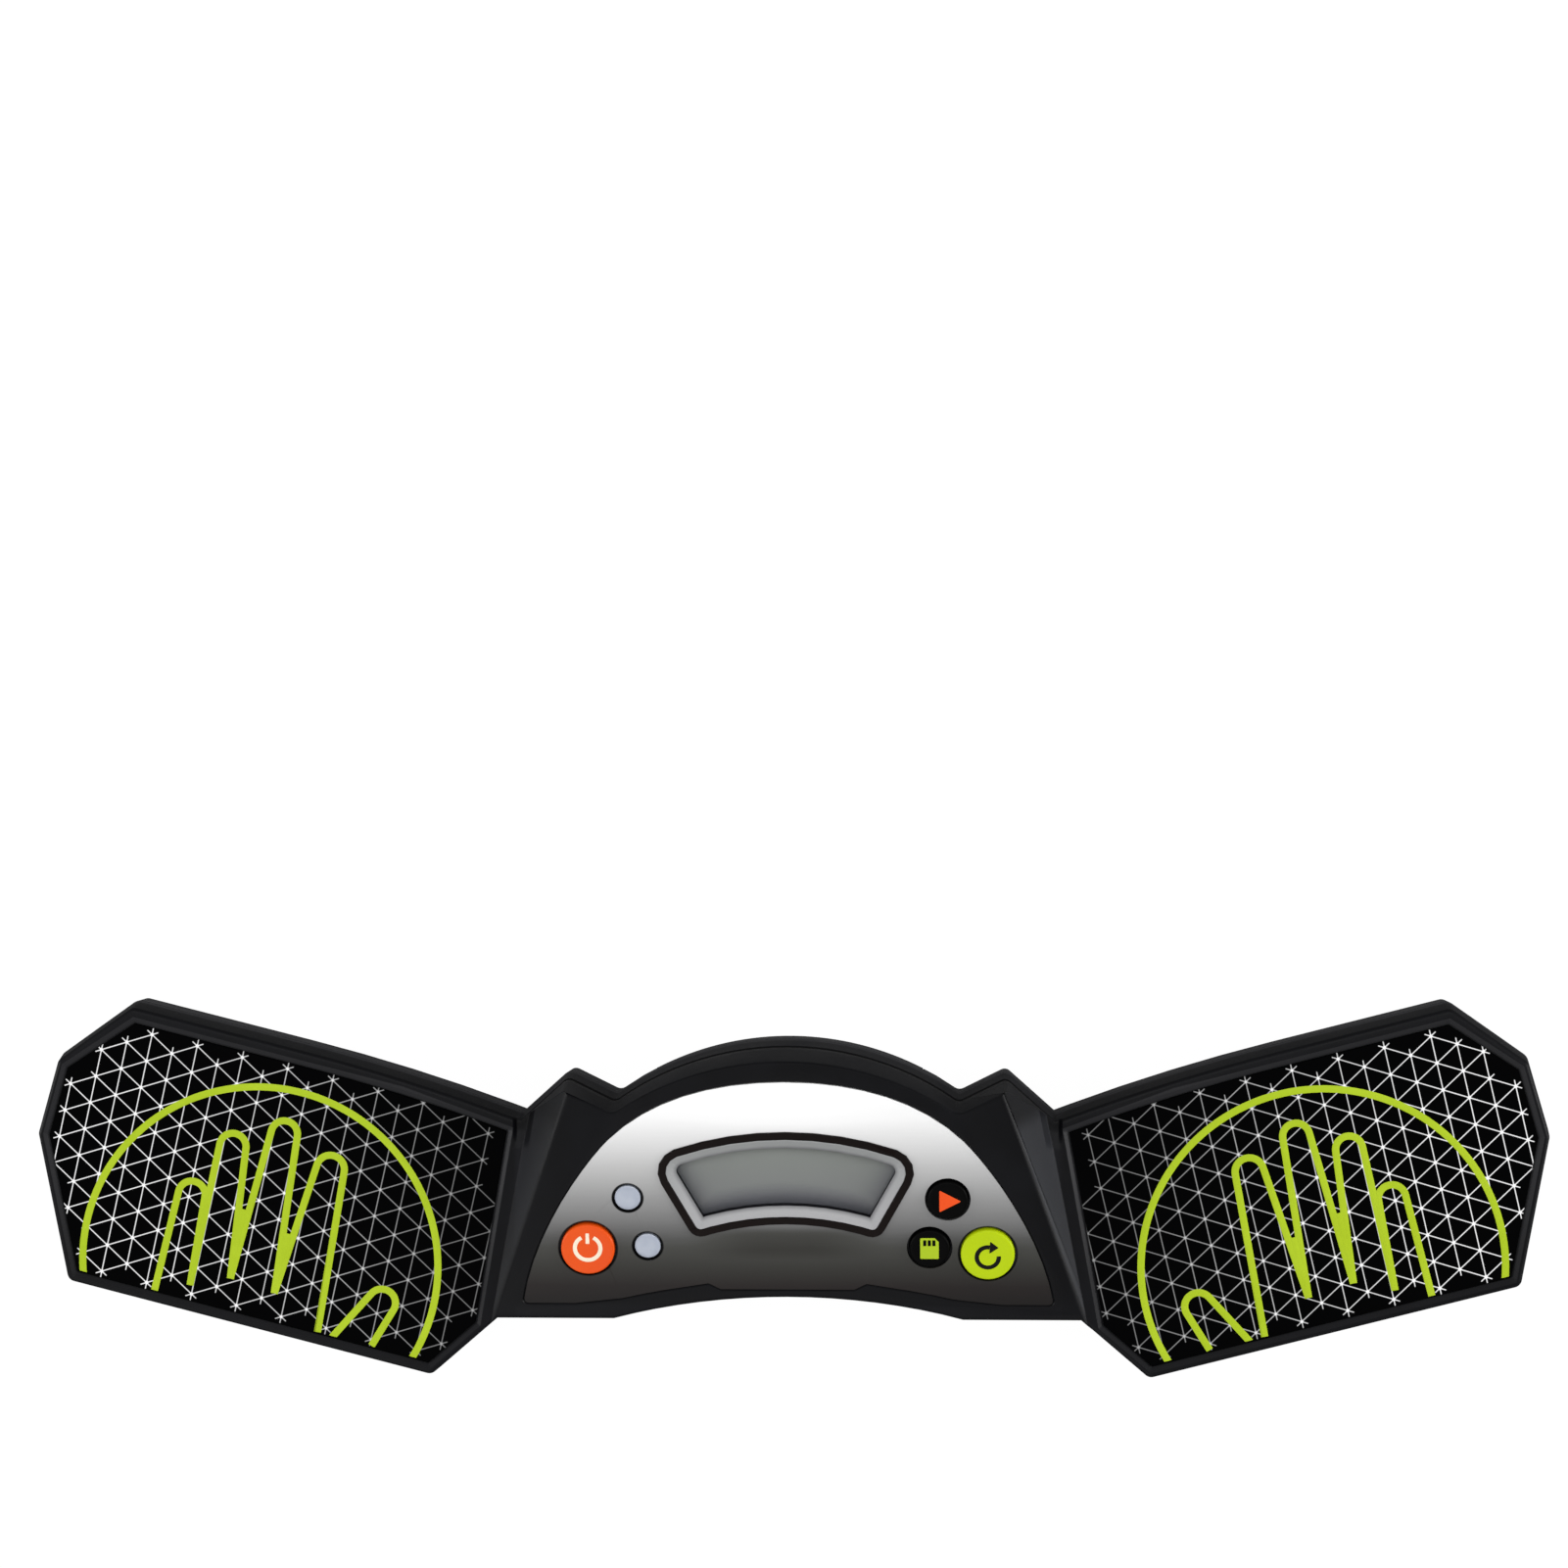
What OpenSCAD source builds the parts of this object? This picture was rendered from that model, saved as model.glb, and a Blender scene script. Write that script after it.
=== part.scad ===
// Speed cube timer: a wedge-shaped console between two swept hand wings.
// Units are millimetres. +X is the user's right, +Y points away from the user, +Z is up.
// The origin lies on the resting surface, under the centre of the outline.

/* [Outline] */
// Half of the overall length, at the middle of the outer end
wing_tip_x = 141.9; // [136:0.1:150]
// How far back the wing's rear outer corner lies
wing_back_y = 35.4; // [32:0.1:38]
// How far forward the wing's front inner corner lies
wing_front_y = 35.8; // [33:0.1:38]
// Rear edge of the console's arc, on the centre line
arc_back_y = 28.1; // [27.5:0.1:29]
// Radius of the console's rear arc
arc_back_r = 55.4; // [52:0.1:58]
// Straight front edge of the console, measured forward
console_front_y = 24.7; // [24:0.1:26]
// Rise of the hollow arc in the console's front edge
front_arc_rise = 4.3; // [3:0.1:5]
// Half width of the hollow arc in the console's front edge
front_arc_half = 32.7; // [28:0.1:36]
// Corner radius of the wings
wing_corner_r = 2.2; // [1:0.1:4]
// Where the wing's rear outer corner lies, from the centre line
rear_corner_x = 123; // [118:0.5:126]
// Where the wing's front inner corner lies, from the centre line
front_corner_x = 67.4; // [64:0.1:70]
// Upper corner of the wing's end, in from its tip
upper_tip_in = 4.2; // [3:0.1:6]
// Upper corner of the wing's end, towards the rear
upper_tip_y = 25; // [23:0.1:26]
// Middle corner of the wing's end, towards the rear
tip_y = 10.8; // [8:0.1:12]
// Lower corner of the wing's end, in from its tip
lower_tip_in = 5.1; // [4:0.1:8]
// Lower corner of the wing's end, towards the front
lower_tip_y = 17.8; // [16:0.1:19]
// Where the wing leaves the console's front edge
root_x = 54.6; // [54:0.1:55.2]
// Where the wing leaves the console's shoulder, from the centre line
waist_x = 50.1; // [49.6:0.1:50.6]
// Where the wing leaves the console's shoulder, towards the rear
waist_y = 14.1; // [13.6:0.1:14.4]
// Top of the shoulder, from the centre line
shoulder_x = 41; // [40.4:0.1:41.4]
// Top of the shoulder, towards the rear
shoulder_y = 22.3; // [21.8:0.1:22.6]
// Where the rear arc meets the shoulder
valley_x = 32.1; // [31.6:0.1:32.4]
// Outward bow of the wing's rear edge, at the corner that its arc rounds
rear_bow = 1.7; // [0:0.1:2.5]
// Where that corner lies, as a share of the way from the waist to the rear corner
rear_bow_at = 0.3; // [0.3:0.05:0.5]
// Radius of the bow
rear_bow_r = 375; // [300:25:400]

/* [Heights] */
// Height of the rubber feet under the case
foot_stand = 1; // [0.8:0.1:2]
// Height of the wings' top above the resting surface
wing_top = 14; // [13.6:0.1:15]
// Height of the seam between the two shells
seam_z = 8; // [7.6:0.1:8.6]
// Width of the shadow gap at the seam
seam_gap = 0.4; // [0.2:0.1:0.6]
// Lean of the outer walls away from the seam
draft = 0.6; // [0.3:0.1:1]
// Further lean of the console's walls, at the top of its outline block
console_lean = 1.15; // [0.8:0.05:1.4]
// Slope of the console's face, in degrees
face_slope = 11.77; // [11.5:0.1:12.5]
// Distance in front of the centre at which the sloping face reaches wing height
face_start_y = 26; // [25:0.1:28]

/* [Shells] */
// Wall thickness of the shells
wall = 2.2; // [1.8:0.1:2.4]
// Thickness of the upper shell's roof
roof = 2; // [1.8:0.1:2.2]
// Thickness of the lower shell's floor
floor_t = 2; // [1.8:0.1:2.4]
// Height of the locating lip above the seam
lip_h = 2; // [1:0.1:3]
// Thickness of the locating lip
lip_t = 1.1; // [0.9:0.1:1.2]
// Running and assembly clearance
clearance = 0.15; // [0.1:0.01:0.2]
// Foot of the console's side facet, at its rear end
facet_back_x = 48.9; // [48:0.1:49.5]
// Foot of the console's side facet, at its front end
facet_front_x = 55.4; // [54.8:0.1:56]
// Rear end of the side facet's foot
facet_back_y = 12.6; // [12:0.1:13]
// Front end of the side facet's foot, measured forward
facet_front_y = 21.5; // [21:0.1:22]
// Lean of the side facet away from upright, in degrees
facet_lean = 36.6; // [34:0.1:38]

/* [Pads] */
// Width of the bare rim around the pad's recess
pad_rim = 1.9; // [1.5:0.1:2.5]
// Inner end of the pad, at the rear
pad_inner_back_x = 52.6; // [52:0.1:54]
// Inner end of the pad, at the front
pad_inner_front_x = 57; // [56.5:0.1:58]
// Depth of the pad's recess
pad_recess = 0.8; // [0.6:0.1:0.9]
// Thickness of the printed pad
pad_t = 0.5; // [0.3:0.1:0.5]
// Thickness of the touch plate under each pad
touch_plate_t = 0.3; // [0.2:0.1:0.5]
// Distance of the touch plate inside the pad's edge
touch_plate_inset = 6; // [5:0.1:9]

/* [Faceplate] */
// Thickness of the metal faceplate
plate_t = 0.8; // [0.6:0.1:0.9]
// Depth of the faceplate's top below the rim
plate_sink = 0.1; // [0:0.1:0.3]
// Top of the faceplate up the slope, on the centre line
plate_top = 23; // [22.5:0.1:23.3]
// Half width of the faceplate at its lower corners
plate_half = 49.7; // [48.5:0.1:50]
// Lower edge of the faceplate's side corners
plate_low = 21.5; // [21:0.1:21.8]
// Width of the black rim in front of the faceplate
plate_front_rim = 4.2; // [3.8:0.1:4.5]
// Depth of the tongue in the faceplate's lower edge
tongue_depth = 1.2; // [0.5:0.1:1.6]
// Half width of the tongue
tongue_half = 12.5; // [10:0.1:15]
// Half width of the faceplate where its top curve turns into its sides
plate_turn_x = 32.9; // [32.2:0.1:33.6]
// Height up the slope of that turn
plate_turn_y = 11.4; // [10.6:0.1:12]

/* [Window] */
// Top of the window's ring up the slope
window_top = 13.15; // [13:0.05:13.3]
// Bottom of the window's ring on the centre line
window_low = 5.2; // [5:0.05:5.4]
// Radius of the ring's top edge
window_top_r = 62; // [58:1:66]
// Radius of the ring's lower edge
window_low_r = 49.5; // [46:0.5:53]
// Half width of the ring at its upper corners
window_half_top = 25.7; // [25.2:0.1:26.2]
// Half width of the ring at its lower corners
window_half_low = 17.2; // [16.8:0.1:17.8]
// Radius of the ring's upper corners
window_top_corner_r = 4.8; // [4.2:0.1:5.2]
// Radius of the ring's lower corners
window_low_corner_r = 2.5; // [2:0.1:3]
// Width of the dark ring
ring_w = 1.4; // [1.2:0.1:1.6]
// Width of the bevelled silver frame
bezel_w = 2; // [1.8:0.1:2.2]
// Height of the dark ring above the rim
ring_proud = 0.25; // [0.1:0.05:0.4]
// Thickness of the clear lens
lens_t = 0.8; // [0.6:0.1:0.8]
// Thickness of the display glass
lcd_t = 2; // [1.8:0.1:2]
// Width of the display glass
lcd_w = 43; // [42.6:0.1:43.2]
// Depth of the display glass up the slope
lcd_d = 16.2; // [16:0.1:16.6]

/* [Buttons] */
// Radius of the power and reset buttons
big_button_r = 5; // [4.6:0.1:5.1]
// Radius of the play and memory buttons
small_button_r = 3.75; // [3.4:0.05:4]
// Height of the buttons above the rim
button_proud = 0.6; // [0.4:0.1:1]
// Stroke of the buttons
button_travel = 0.6; // [0.3:0.05:0.7]
// Radius of the indicator lamps
led_r = 2.4; // [2.2:0.05:2.5]
// Width of the black collar around buttons and lamps
collar_w = 0.35; // [0.25:0.05:0.45]

/* [Board] */
// Depth of the circuit board's top below the console's face
board_depth = 5.5; // [5.4:0.1:5.6]
// Thickness of the circuit board
board_t = 1.2; // [1:0.1:1.2]
// Width of the tact switches
switch_w = 4.6; // [4.2:0.1:5]
// Height of the tact switches
switch_h = 1.6; // [1.4:0.1:1.6]

/* [Battery] */
// Diameter of an AAA cell
cell_d = 10.5; // [10.3:0.1:10.5]
// Length of an AAA cell with its button
cell_l = 44.5; // [44:0.1:44.9]
// Free space between the two cells
cell_gap = 0.2; // [0.1:0.1:0.4]
// Centre of the front cell
cell_front_y = 4.2; // [4:0.1:4.4]
// Free length of the contact springs
spring_l = 5.5; // [5:0.1:5.8]
// Thickness of the battery door
door_t = 1.4; // [1.2:0.1:1.4]

/* [Fasteners] */
// Radius of the case screws' shank
case_screw_r = 1.05; // [0.9:0.05:1.1]
// Length of the case screws' shank
case_screw_l = 8; // [6:0.5:8]
// Radius of the case screws' head
case_head_r = 2.1; // [1.8:0.1:2.2]
// Radius of the board screws' shank
board_screw_r = 0.8; // [0.7:0.05:0.9]
// Radius of the rubber feet
foot_r = 5; // [4:0.5:6]

/* [Hidden] */
$fn = 48;

// Depths of cuts that run right through, and of half-space blocks
through = 1;
big = 400;

// Finishes
shell_black = [0.11, 0.11, 0.12];
film_black = [0.03, 0.03, 0.03];
plate_silver = [0.72, 0.72, 0.73];
steel_grey = [0.75, 0.75, 0.76];
board_green = [0.05, 0.32, 0.16];

// Levels above the resting surface
base_z = foot_stand;
lower_top_z = seam_z - seam_gap / 2;
upper_low_z = seam_z + seam_gap / 2;
inner_floor_z = base_z + floor_t;
roof_under_z = wing_top - roof;
pad_floor_z = wing_top - pad_recess;

// Depths below the console's face, along its normal
roof_under = -roof;
plate_floor = -(plate_t + plate_sink);
board_top = -board_depth;
board_low = board_top - board_t;
lens_low = roof_under - lens_t;
lcd_top = lens_low - 0.1;
lcd_low = lcd_top - lcd_t;
flange_t = 0.8;
flange_top = roof_under - 0.1;
flange_low = flange_top - flange_t;
switch_top = board_top + switch_h;

// ---------- outline helpers ----------
function unit(v) = v / norm(v);
function left_normal(v) = [-v.y, v.x];
function turn_way(a, b, c) = cross(b - a, c - b) >= 0 ? 1 : -1;

// A corner moved inwards by d, measured square to both of its edges
function inset_corner(a, b, c, d) =
    let (n1 = left_normal(unit(b - a)), n2 = left_normal(unit(c - b)))
    b + d * (n1 + n2) / (1 + n1 * n2);

// Points of the arc of radius r that rounds the corner b
function corner_arc(a, b, c, r, steps) =
    let (
        u = unit(a - b), v = unit(c - b), half = acos(u * v) / 2, way = turn_way(a, b, c),
        centre = b + unit(u + v) * r / sin(half),
        start = b + u * r / tan(half) - centre,
        sweep = way * (180 - 2 * half)
    )
    [for (i = [0:steps]) let (t = sweep * i / steps)
        centre + [start.x * cos(t) - start.y * sin(t), start.x * sin(t) + start.y * cos(t)]];

// Largest radius that rounds the corner b and still ends short of its neighbours
least_run = 0.01;
function largest_r(a, b, c) =
    let (half = acos(unit(a - b) * unit(c - b)) / 2)
    (min(norm(a - b), norm(c - b)) - least_run) * tan(half);

// Closed outline from corners [x, y, radius], moved inwards by d; radius 0 is a plain point
corner_steps = 4;
least_corner_r = 0.05;
function outline(corners, d = 0) =
    let (
        n = len(corners),
        p = [for (c = corners) [c.x, c.y]],
        q = [for (i = [0:n - 1]) inset_corner(p[(i + n - 1) % n], p[i], p[(i + 1) % n], d)]
    )
    [for (i = [0:n - 1])
        let (
            a = q[(i + n - 1) % n], b = q[i], c = q[(i + 1) % n],
            wanted = max(least_corner_r, corners[i][2] - d * turn_way(a, b, c)),
            r = corners[i][2] == 0 ? 0 : min(wanted, largest_r(a, b, c))
        )
        each (r == 0 ? [b] : corner_arc(a, b, c, r, corner_steps))];

// Adds the mirror image of a right-hand half outline, whose ends lie on the centre line
function both_halves(half) =
    concat(half, [for (i = [len(half) - 2:-1:1]) [-half[i].x, half[i].y, half[i][2]]]);

// Points on an arc about [0, cy], from x = 0 to x = x1, leaving out the last one
function centre_arc(cy, r, way, x1, steps) =
    [for (i = [0:steps - 1]) let (x = x1 * i / steps) [x, cy + way * sqrt(r * r - x * x), 0]];

function reversed(list) = [for (i = [len(list) - 1:-1:0]) list[i]];
function bezier(a, b, c, d, t) =
    a * pow(1 - t, 3) + 3 * b * t * pow(1 - t, 2) + 3 * c * (1 - t) * pow(t, 2) + d * pow(t, 3);
function flipped(p) = [-p.x, p.y];

// ---------- case outline at the seam ----------
front_arc_r = (pow(front_arc_half, 2) + pow(front_arc_rise, 2)) / (2 * front_arc_rise);
front_arc_cy = -console_front_y + front_arc_rise - front_arc_r;
back_arc_cy = arc_back_y - arc_back_r;
valley = [valley_x, back_arc_cy + sqrt(pow(arc_back_r, 2) - pow(valley_x, 2))];
shoulder = [shoulder_x, shoulder_y];
waist = [waist_x, waist_y];
rear_corner = [rear_corner_x, wing_back_y];
upper_tip = [wing_tip_x - upper_tip_in, upper_tip_y];
tip = [wing_tip_x, tip_y];
lower_tip = [wing_tip_x - lower_tip_in, -lower_tip_y];
front_corner = [front_corner_x, -wing_front_y];
wing_root = [root_x, -console_front_y];
bow_corner = waist + rear_bow_at * (rear_corner - waist)
    + rear_bow * left_normal(unit(rear_corner - waist));

case_front = concat(
    centre_arc(front_arc_cy, front_arc_r, 1, front_arc_half, 6),
    [[front_arc_half, -console_front_y, 1.5]]
);
case_wing = [
    [wing_root.x, wing_root.y, 0],
    [front_corner.x, front_corner.y, wing_corner_r], [lower_tip.x, lower_tip.y, wing_corner_r],
    [tip.x, tip.y, wing_corner_r], [upper_tip.x, upper_tip.y, wing_corner_r],
    [rear_corner.x, rear_corner.y, wing_corner_r], [bow_corner.x, bow_corner.y, rear_bow_r],
    [waist.x, waist.y, 0]
];
case_back = concat(
    [[shoulder.x, shoulder.y, 2], [valley.x, valley.y, 1]],
    reversed(centre_arc(back_arc_cy, arc_back_r, 1, valley.x, 8))
);
case_corners = both_halves(concat(case_front, case_wing, case_back));

// The wings' runs of points in the case's outline, from root to waist
function point_count(corners) =
    len([for (c = corners) each [for (i = [0:c[2] == 0 ? 0 : corner_steps]) i]]);
root_i = point_count(case_front);
waist_i = root_i + point_count(case_wing) - 1;
case_points = point_count(case_corners);
case_lobes = [[root_i, waist_i], [case_points - waist_i, case_points - root_i]];
case_hub = [0, -2];

// The wing's own field, whose edge the pad's rim follows
function on_line(a, b, x) = a.y + (b.y - a.y) * (x - a.x) / (b.x - a.x);
field_back_x = pad_inner_back_x - pad_rim;
field_front_x = pad_inner_front_x - pad_rim;
field_corners = [
    [field_front_x, on_line(wing_root, front_corner, field_front_x), 2.4],
    [front_corner.x, front_corner.y, 2.4], [lower_tip.x, lower_tip.y, 3],
    [tip.x, tip.y, 3], [upper_tip.x, upper_tip.y, 3], [rear_corner.x, rear_corner.y, 3],
    [bow_corner.x, bow_corner.y, rear_bow_r],
    [field_back_x, on_line(waist, bow_corner, field_back_x), 2.4]
];
pad_edge = pad_rim + draft;

// ---------- places ----------
power_at = [-37.2, -10.3];
reset_at = [37.4, -11.1];
play_at = [30, -0.2];
memory_at = [26.6, -9.9];
led_upper_at = [-29.5, -0.1];
led_lower_at = [-26, -9.8];
button_spots = [
    [power_at, big_button_r], [reset_at, big_button_r],
    [play_at, small_button_r], [memory_at, small_button_r]
];
led_spots = [led_upper_at, led_lower_at];
board_screw_spots = [[33.5, -18.4], [-33.5, -18.4], [37.5, 5], [-37.5, 5]];
case_screw_half = [[135.5, 17.5], [131.5, -12.5], [68, -29.5], [60.5, 11.5], [38, 15.5]];
case_screw_spots = concat(case_screw_half, [for (p = case_screw_half) flipped(p)]);
foot_outer = [124, 4];
foot_inner = [76, -16];
foot_console = [38, 2];
foot_spots = [for (p = [foot_outer, foot_inner, foot_console]) each [p, flipped(p)]];

// Local frame of the console's face: X stays, local Y runs up the slope, local Z is the normal
module on_face() {
    translate([0, 0, wing_top + face_start_y * tan(face_slope)])
        rotate([face_slope, 0, 0])
            children();
}
module at_face(spot, w = 0) {
    on_face() translate([spot.x, spot.y, w]) children();
}

// ---------- shared solids ----------
// Closed solid between outlines that all have the same number of points. Each end is filled from
// the hub, a point inside that sees the outline. Lobes are convex runs of points, as [first, last],
// that the hub doesn't see: each is filled by itself
module loft(rings, levels, hub, lobes = []) {
    n = len(rings[0]);
    last = len(rings) - 1;
    low_hub = (last + 1) * n;
    top_hub = low_hub + 1;
    seen = [for (i = [0:n - 1]) if (len([for (l = lobes) if (i > l[0] && i < l[1]) l]) == 0) i];
    m = len(seen);
    points = concat([for (k = [0:last]) each [for (p = rings[k]) [p.x, p.y, levels[k]]]],
                    [[hub.x, hub.y, levels[0]], [hub.x, hub.y, levels[last]]]);
    walls = [for (k = [0:last - 1]) each [for (i = [0:n - 1])
        [k * n + i, (k + 1) * n + i, (k + 1) * n + (i + 1) % n, k * n + (i + 1) % n]]];
    low_fan = [for (k = [0:m - 1]) [low_hub, seen[k], seen[(k + 1) % m]]];
    top_fan = [for (k = [0:m - 1]) [top_hub, last * n + seen[(k + 1) % m], last * n + seen[k]]];
    low_lobes = [for (l = lobes) [for (i = [l[0]:l[1]]) i]];
    top_lobes = [for (l = lobes) [for (i = [l[1]:-1:l[0]]) last * n + i]];
    polyhedron(points, concat(walls, low_fan, top_fan, low_lobes, top_lobes));
}
module case_prism(inset, z0, z1) {
    translate([0, 0, z0]) linear_extrude(z1 - z0) polygon(outline(case_corners, inset));
}
// The outline from z0 up to the top of its block. The walls lean in by a further amount above the
// wings, so that the console tapers
block_top_z = wing_top + 14;
module case_block(low_inset, wing_inset, lean, z0) {
    loft([outline(case_corners, low_inset), outline(case_corners, wing_inset),
          outline(case_corners, wing_inset + lean)],
         [z0, wing_top, block_top_z], case_hub, case_lobes);
}
module ring_prism(inset_out, inset_in, z0, z1) {
    difference() {
        case_prism(inset_out, z0, z1);
        case_prism(inset_in, z0 - through, z1 + through);
    }
}
// Everything on the console's side of the two slanted facets, moved inwards by d
module between_facets(d) {
    foot_angle = atan2(-facet_front_y - facet_back_y, facet_front_x - facet_back_x);
    intersection_for (side = [0, 1]) {
        mirror([side, 0, 0])
            translate([facet_back_x, facet_back_y, wing_top])
                rotate([0, 0, foot_angle])
                    rotate([facet_lean, 0, 0])
                        translate([-big / 2, -big - d, -big / 2])
                            cube([big, big, big]);
    }
}
// The roof line as a solid: a slab up to the wings' top and the wedge of the console
module under_roof(d) {
    translate([-big / 2, -big / 2, 0])
        cube([big, big, wing_top - d]);
    intersection() {
        on_face() translate([-big / 2, -big / 2, -big - d]) cube([big, big, big]);
        between_facets(d);
        translate([-big / 2, -big / 2, base_z]) cube([big, big, big / 4]);
    }
}
module face_prism(points, w0, w1) {
    on_face() translate([0, 0, w0]) linear_extrude(w1 - w0) polygon(points);
}
// A round wire of radius r through the given points
module wire(points, r, sides = 8) {
    last = len(points) - 1;
    heading = [for (i = [0:last])
        unit((i == 0 ? [0, 0, 0] : unit(points[i] - points[i - 1]))
           + (i == last ? [0, 0, 0] : unit(points[i + 1] - points[i])))];
    side_of = [for (t = heading) unit(cross(t, [0, 1, 0.02]))];
    rings = [for (i = [0:last]) let (s = side_of[i], u = cross(heading[i], s))
        [for (k = [0:sides - 1]) points[i] + r * (cos(360 * k / sides) * s + sin(360 * k / sides) * u)]];
    walls = [for (i = [0:last - 1]) each [for (k = [0:sides - 1])
        let (a = i * sides + k, b = i * sides + (k + 1) % sides)
        each [[a, b, b + sides], [a, b + sides, a + sides]]]];
    first_cap = [[for (k = [sides - 1:-1:0]) k]];
    last_cap = [[for (k = [0:sides - 1]) last * sides + k]];
    polyhedron([for (ring = rings) each ring], concat(walls, first_cap, last_cap));
}

// ---------- battery bay ----------
cell_r = cell_d / 2;
cell_z = base_z + door_t + 0.2 + cell_r;
cell_back_y = cell_front_y + cell_d + cell_gap;
contact_t = 0.4;
bay_half = (cell_l + spring_l) / 2 + contact_t;
bay_front = cell_front_y - cell_r - 0.35;
bay_back = cell_back_y + cell_r + 0.2;
bay_wall = 1.6;
bay_top = 11.5;
contact_w = 9;
contact_low = inner_floor_z + 0.2;
rail_depth = 1.2;
rail_low = base_z + 0.5;
rail_high = base_z + 1.5;
rail_front = 1.2;

// ---------- lower shell ----------
post_top = 6.4;
head_t = 1.4;
head_seat = base_z + 0.4 + head_t;
foot_sink = 0.6;

module bottom_cover() {
    color(shell_black) difference() {
        union() {
            difference() {
                loft([outline(case_corners, draft), outline(case_corners, 0)],
                     [base_z, lower_top_z], case_hub, case_lobes);
                case_prism(wall, inner_floor_z, lower_top_z + through);
            }
            ring_prism(wall - lip_t, wall, inner_floor_z, upper_low_z + lip_h);
            for (p = case_screw_spots)
                translate([p.x, p.y, base_z + 0.1])
                    cylinder(h = post_top - base_z - 0.1, r = case_head_r + 1.4);
            intersection() {
                union() {
                    case_prism(wall - 0.5, base_z + 0.1, lower_top_z);
                    case_prism(wall + clearance, base_z + 0.1, bay_top);
                }
                translate([-bay_half - bay_wall, bay_front - bay_wall, base_z + 0.1])
                    cube([2 * (bay_half + bay_wall), bay_back - bay_front + 2 * bay_wall, bay_top]);
            }
        }
        // the bay, open below and closed behind by the shell's wall
        translate([-bay_half, bay_front, base_z - through])
            cube([2 * bay_half, bay_back - bay_front, bay_top + 2 * through]);
        // the door's way out to the rear, with its two rails
        translate([-bay_half, bay_front, base_z - through])
            cube([2 * bay_half, big, door_t + 0.2 + through]);
        for (side = [-1, 1])
            translate([side * bay_half - rail_depth, bay_front, rail_low])
                cube([2 * rail_depth, big, rail_high - rail_low]);
        for (p = case_screw_spots) {
            translate([p.x, p.y, base_z - through])
                cylinder(h = head_seat - base_z + through, r = case_head_r + clearance);
            translate([p.x, p.y, base_z])
                cylinder(h = post_top, r = case_screw_r + 2 * clearance);
        }
        for (p = foot_spots)
            translate([p.x, p.y, base_z - through])
                cylinder(h = foot_sink + through, r = foot_r + clearance);
    }
}

module battery_door() {
    tongue = rail_depth - clearance;
    tongue_l = bay_back - bay_front - rail_front;
    color(shell_black) intersection() {
        difference() {
            union() {
                translate([-bay_half + clearance, bay_front + clearance, base_z])
                    cube([2 * (bay_half - clearance), big, door_t]);
                translate([-bay_half - tongue, bay_front + clearance, rail_low + 0.2])
                    cube([2 * (bay_half + tongue), tongue_l, rail_high - rail_low - 0.4]);
            }
            // finger grooves
            for (i = [0:3])
                translate([-8, bay_back - 8 + 2 * i, base_z - through])
                    cube([16, 1, through + 0.4]);
        }
        translate([0, back_arc_cy, 0])
            cylinder(h = seam_z, r = arc_back_r - draft, $fn = 96);
    }
}

// ---------- upper shell ----------
module boss(p, low, hole_r, hole_top) {
    difference() {
        translate([p.x, p.y, low])
            cylinder(h = big / 8, r = hole_r + 1.5);
        translate([p.x, p.y, low - through])
            cylinder(h = hole_top - low + through, r = hole_r);
    }
}
screw_bore_r = case_screw_r + 0.05;
screw_tip_z = head_seat + case_screw_l;
board_bore_r = board_screw_r + 0.05;
board_screw_tip = board_low + 4.2;

module pad_cut() {
    translate([0, 0, pad_floor_z])
        linear_extrude(pad_recess + through)
            polygon(outline(field_corners, pad_edge));
}
module top_cover() {
    color(shell_black) difference() {
        intersection() {
            case_block(0, draft, console_lean, upper_low_z);
            difference() {
                under_roof(0);
                pad_cut();
                mirror([1, 0, 0]) pad_cut();
                face_prism(plate_outline(-clearance), plate_floor, big / 4);
            }
            union() {
                shell_hollow_complement();
                bosses();
            }
        }
        case_prism(wall - lip_t - clearance, upper_low_z - through, upper_low_z + lip_h + 0.2);
        face_prism(window_outline(ring_w + bezel_w), -big / 8, big / 8);
        for (b = button_spots)
            at_face(b[0], -roof - through)
                cylinder(h = roof + 2 * through, r = b[1] + clearance);
        for (p = led_spots)
            at_face(p, -roof - through)
                cylinder(h = roof + 2 * through, r = led_r + clearance);
    }
}
// Everything outside the hollow: walls and roof
module shell_hollow_complement() {
    difference() {
        translate([-big / 2, -big / 2, 0]) cube([big, big, big / 4]);
        intersection() {
            case_block(wall, wall, console_lean, 0);
            under_roof(roof);
        }
    }
}
module bosses() {
    for (p = case_screw_spots)
        boss(p, post_top, screw_bore_r, screw_tip_z + 0.3);
    for (p = board_screw_spots)
        on_face() difference() {
            translate([p.x, p.y, board_top])
                cylinder(h = board_depth - roof + 0.5, r = board_bore_r + 1.2);
            translate([p.x, p.y, board_top - through])
                cylinder(h = board_screw_tip - board_top + through + 0.2, r = board_bore_r);
        }
}

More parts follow.
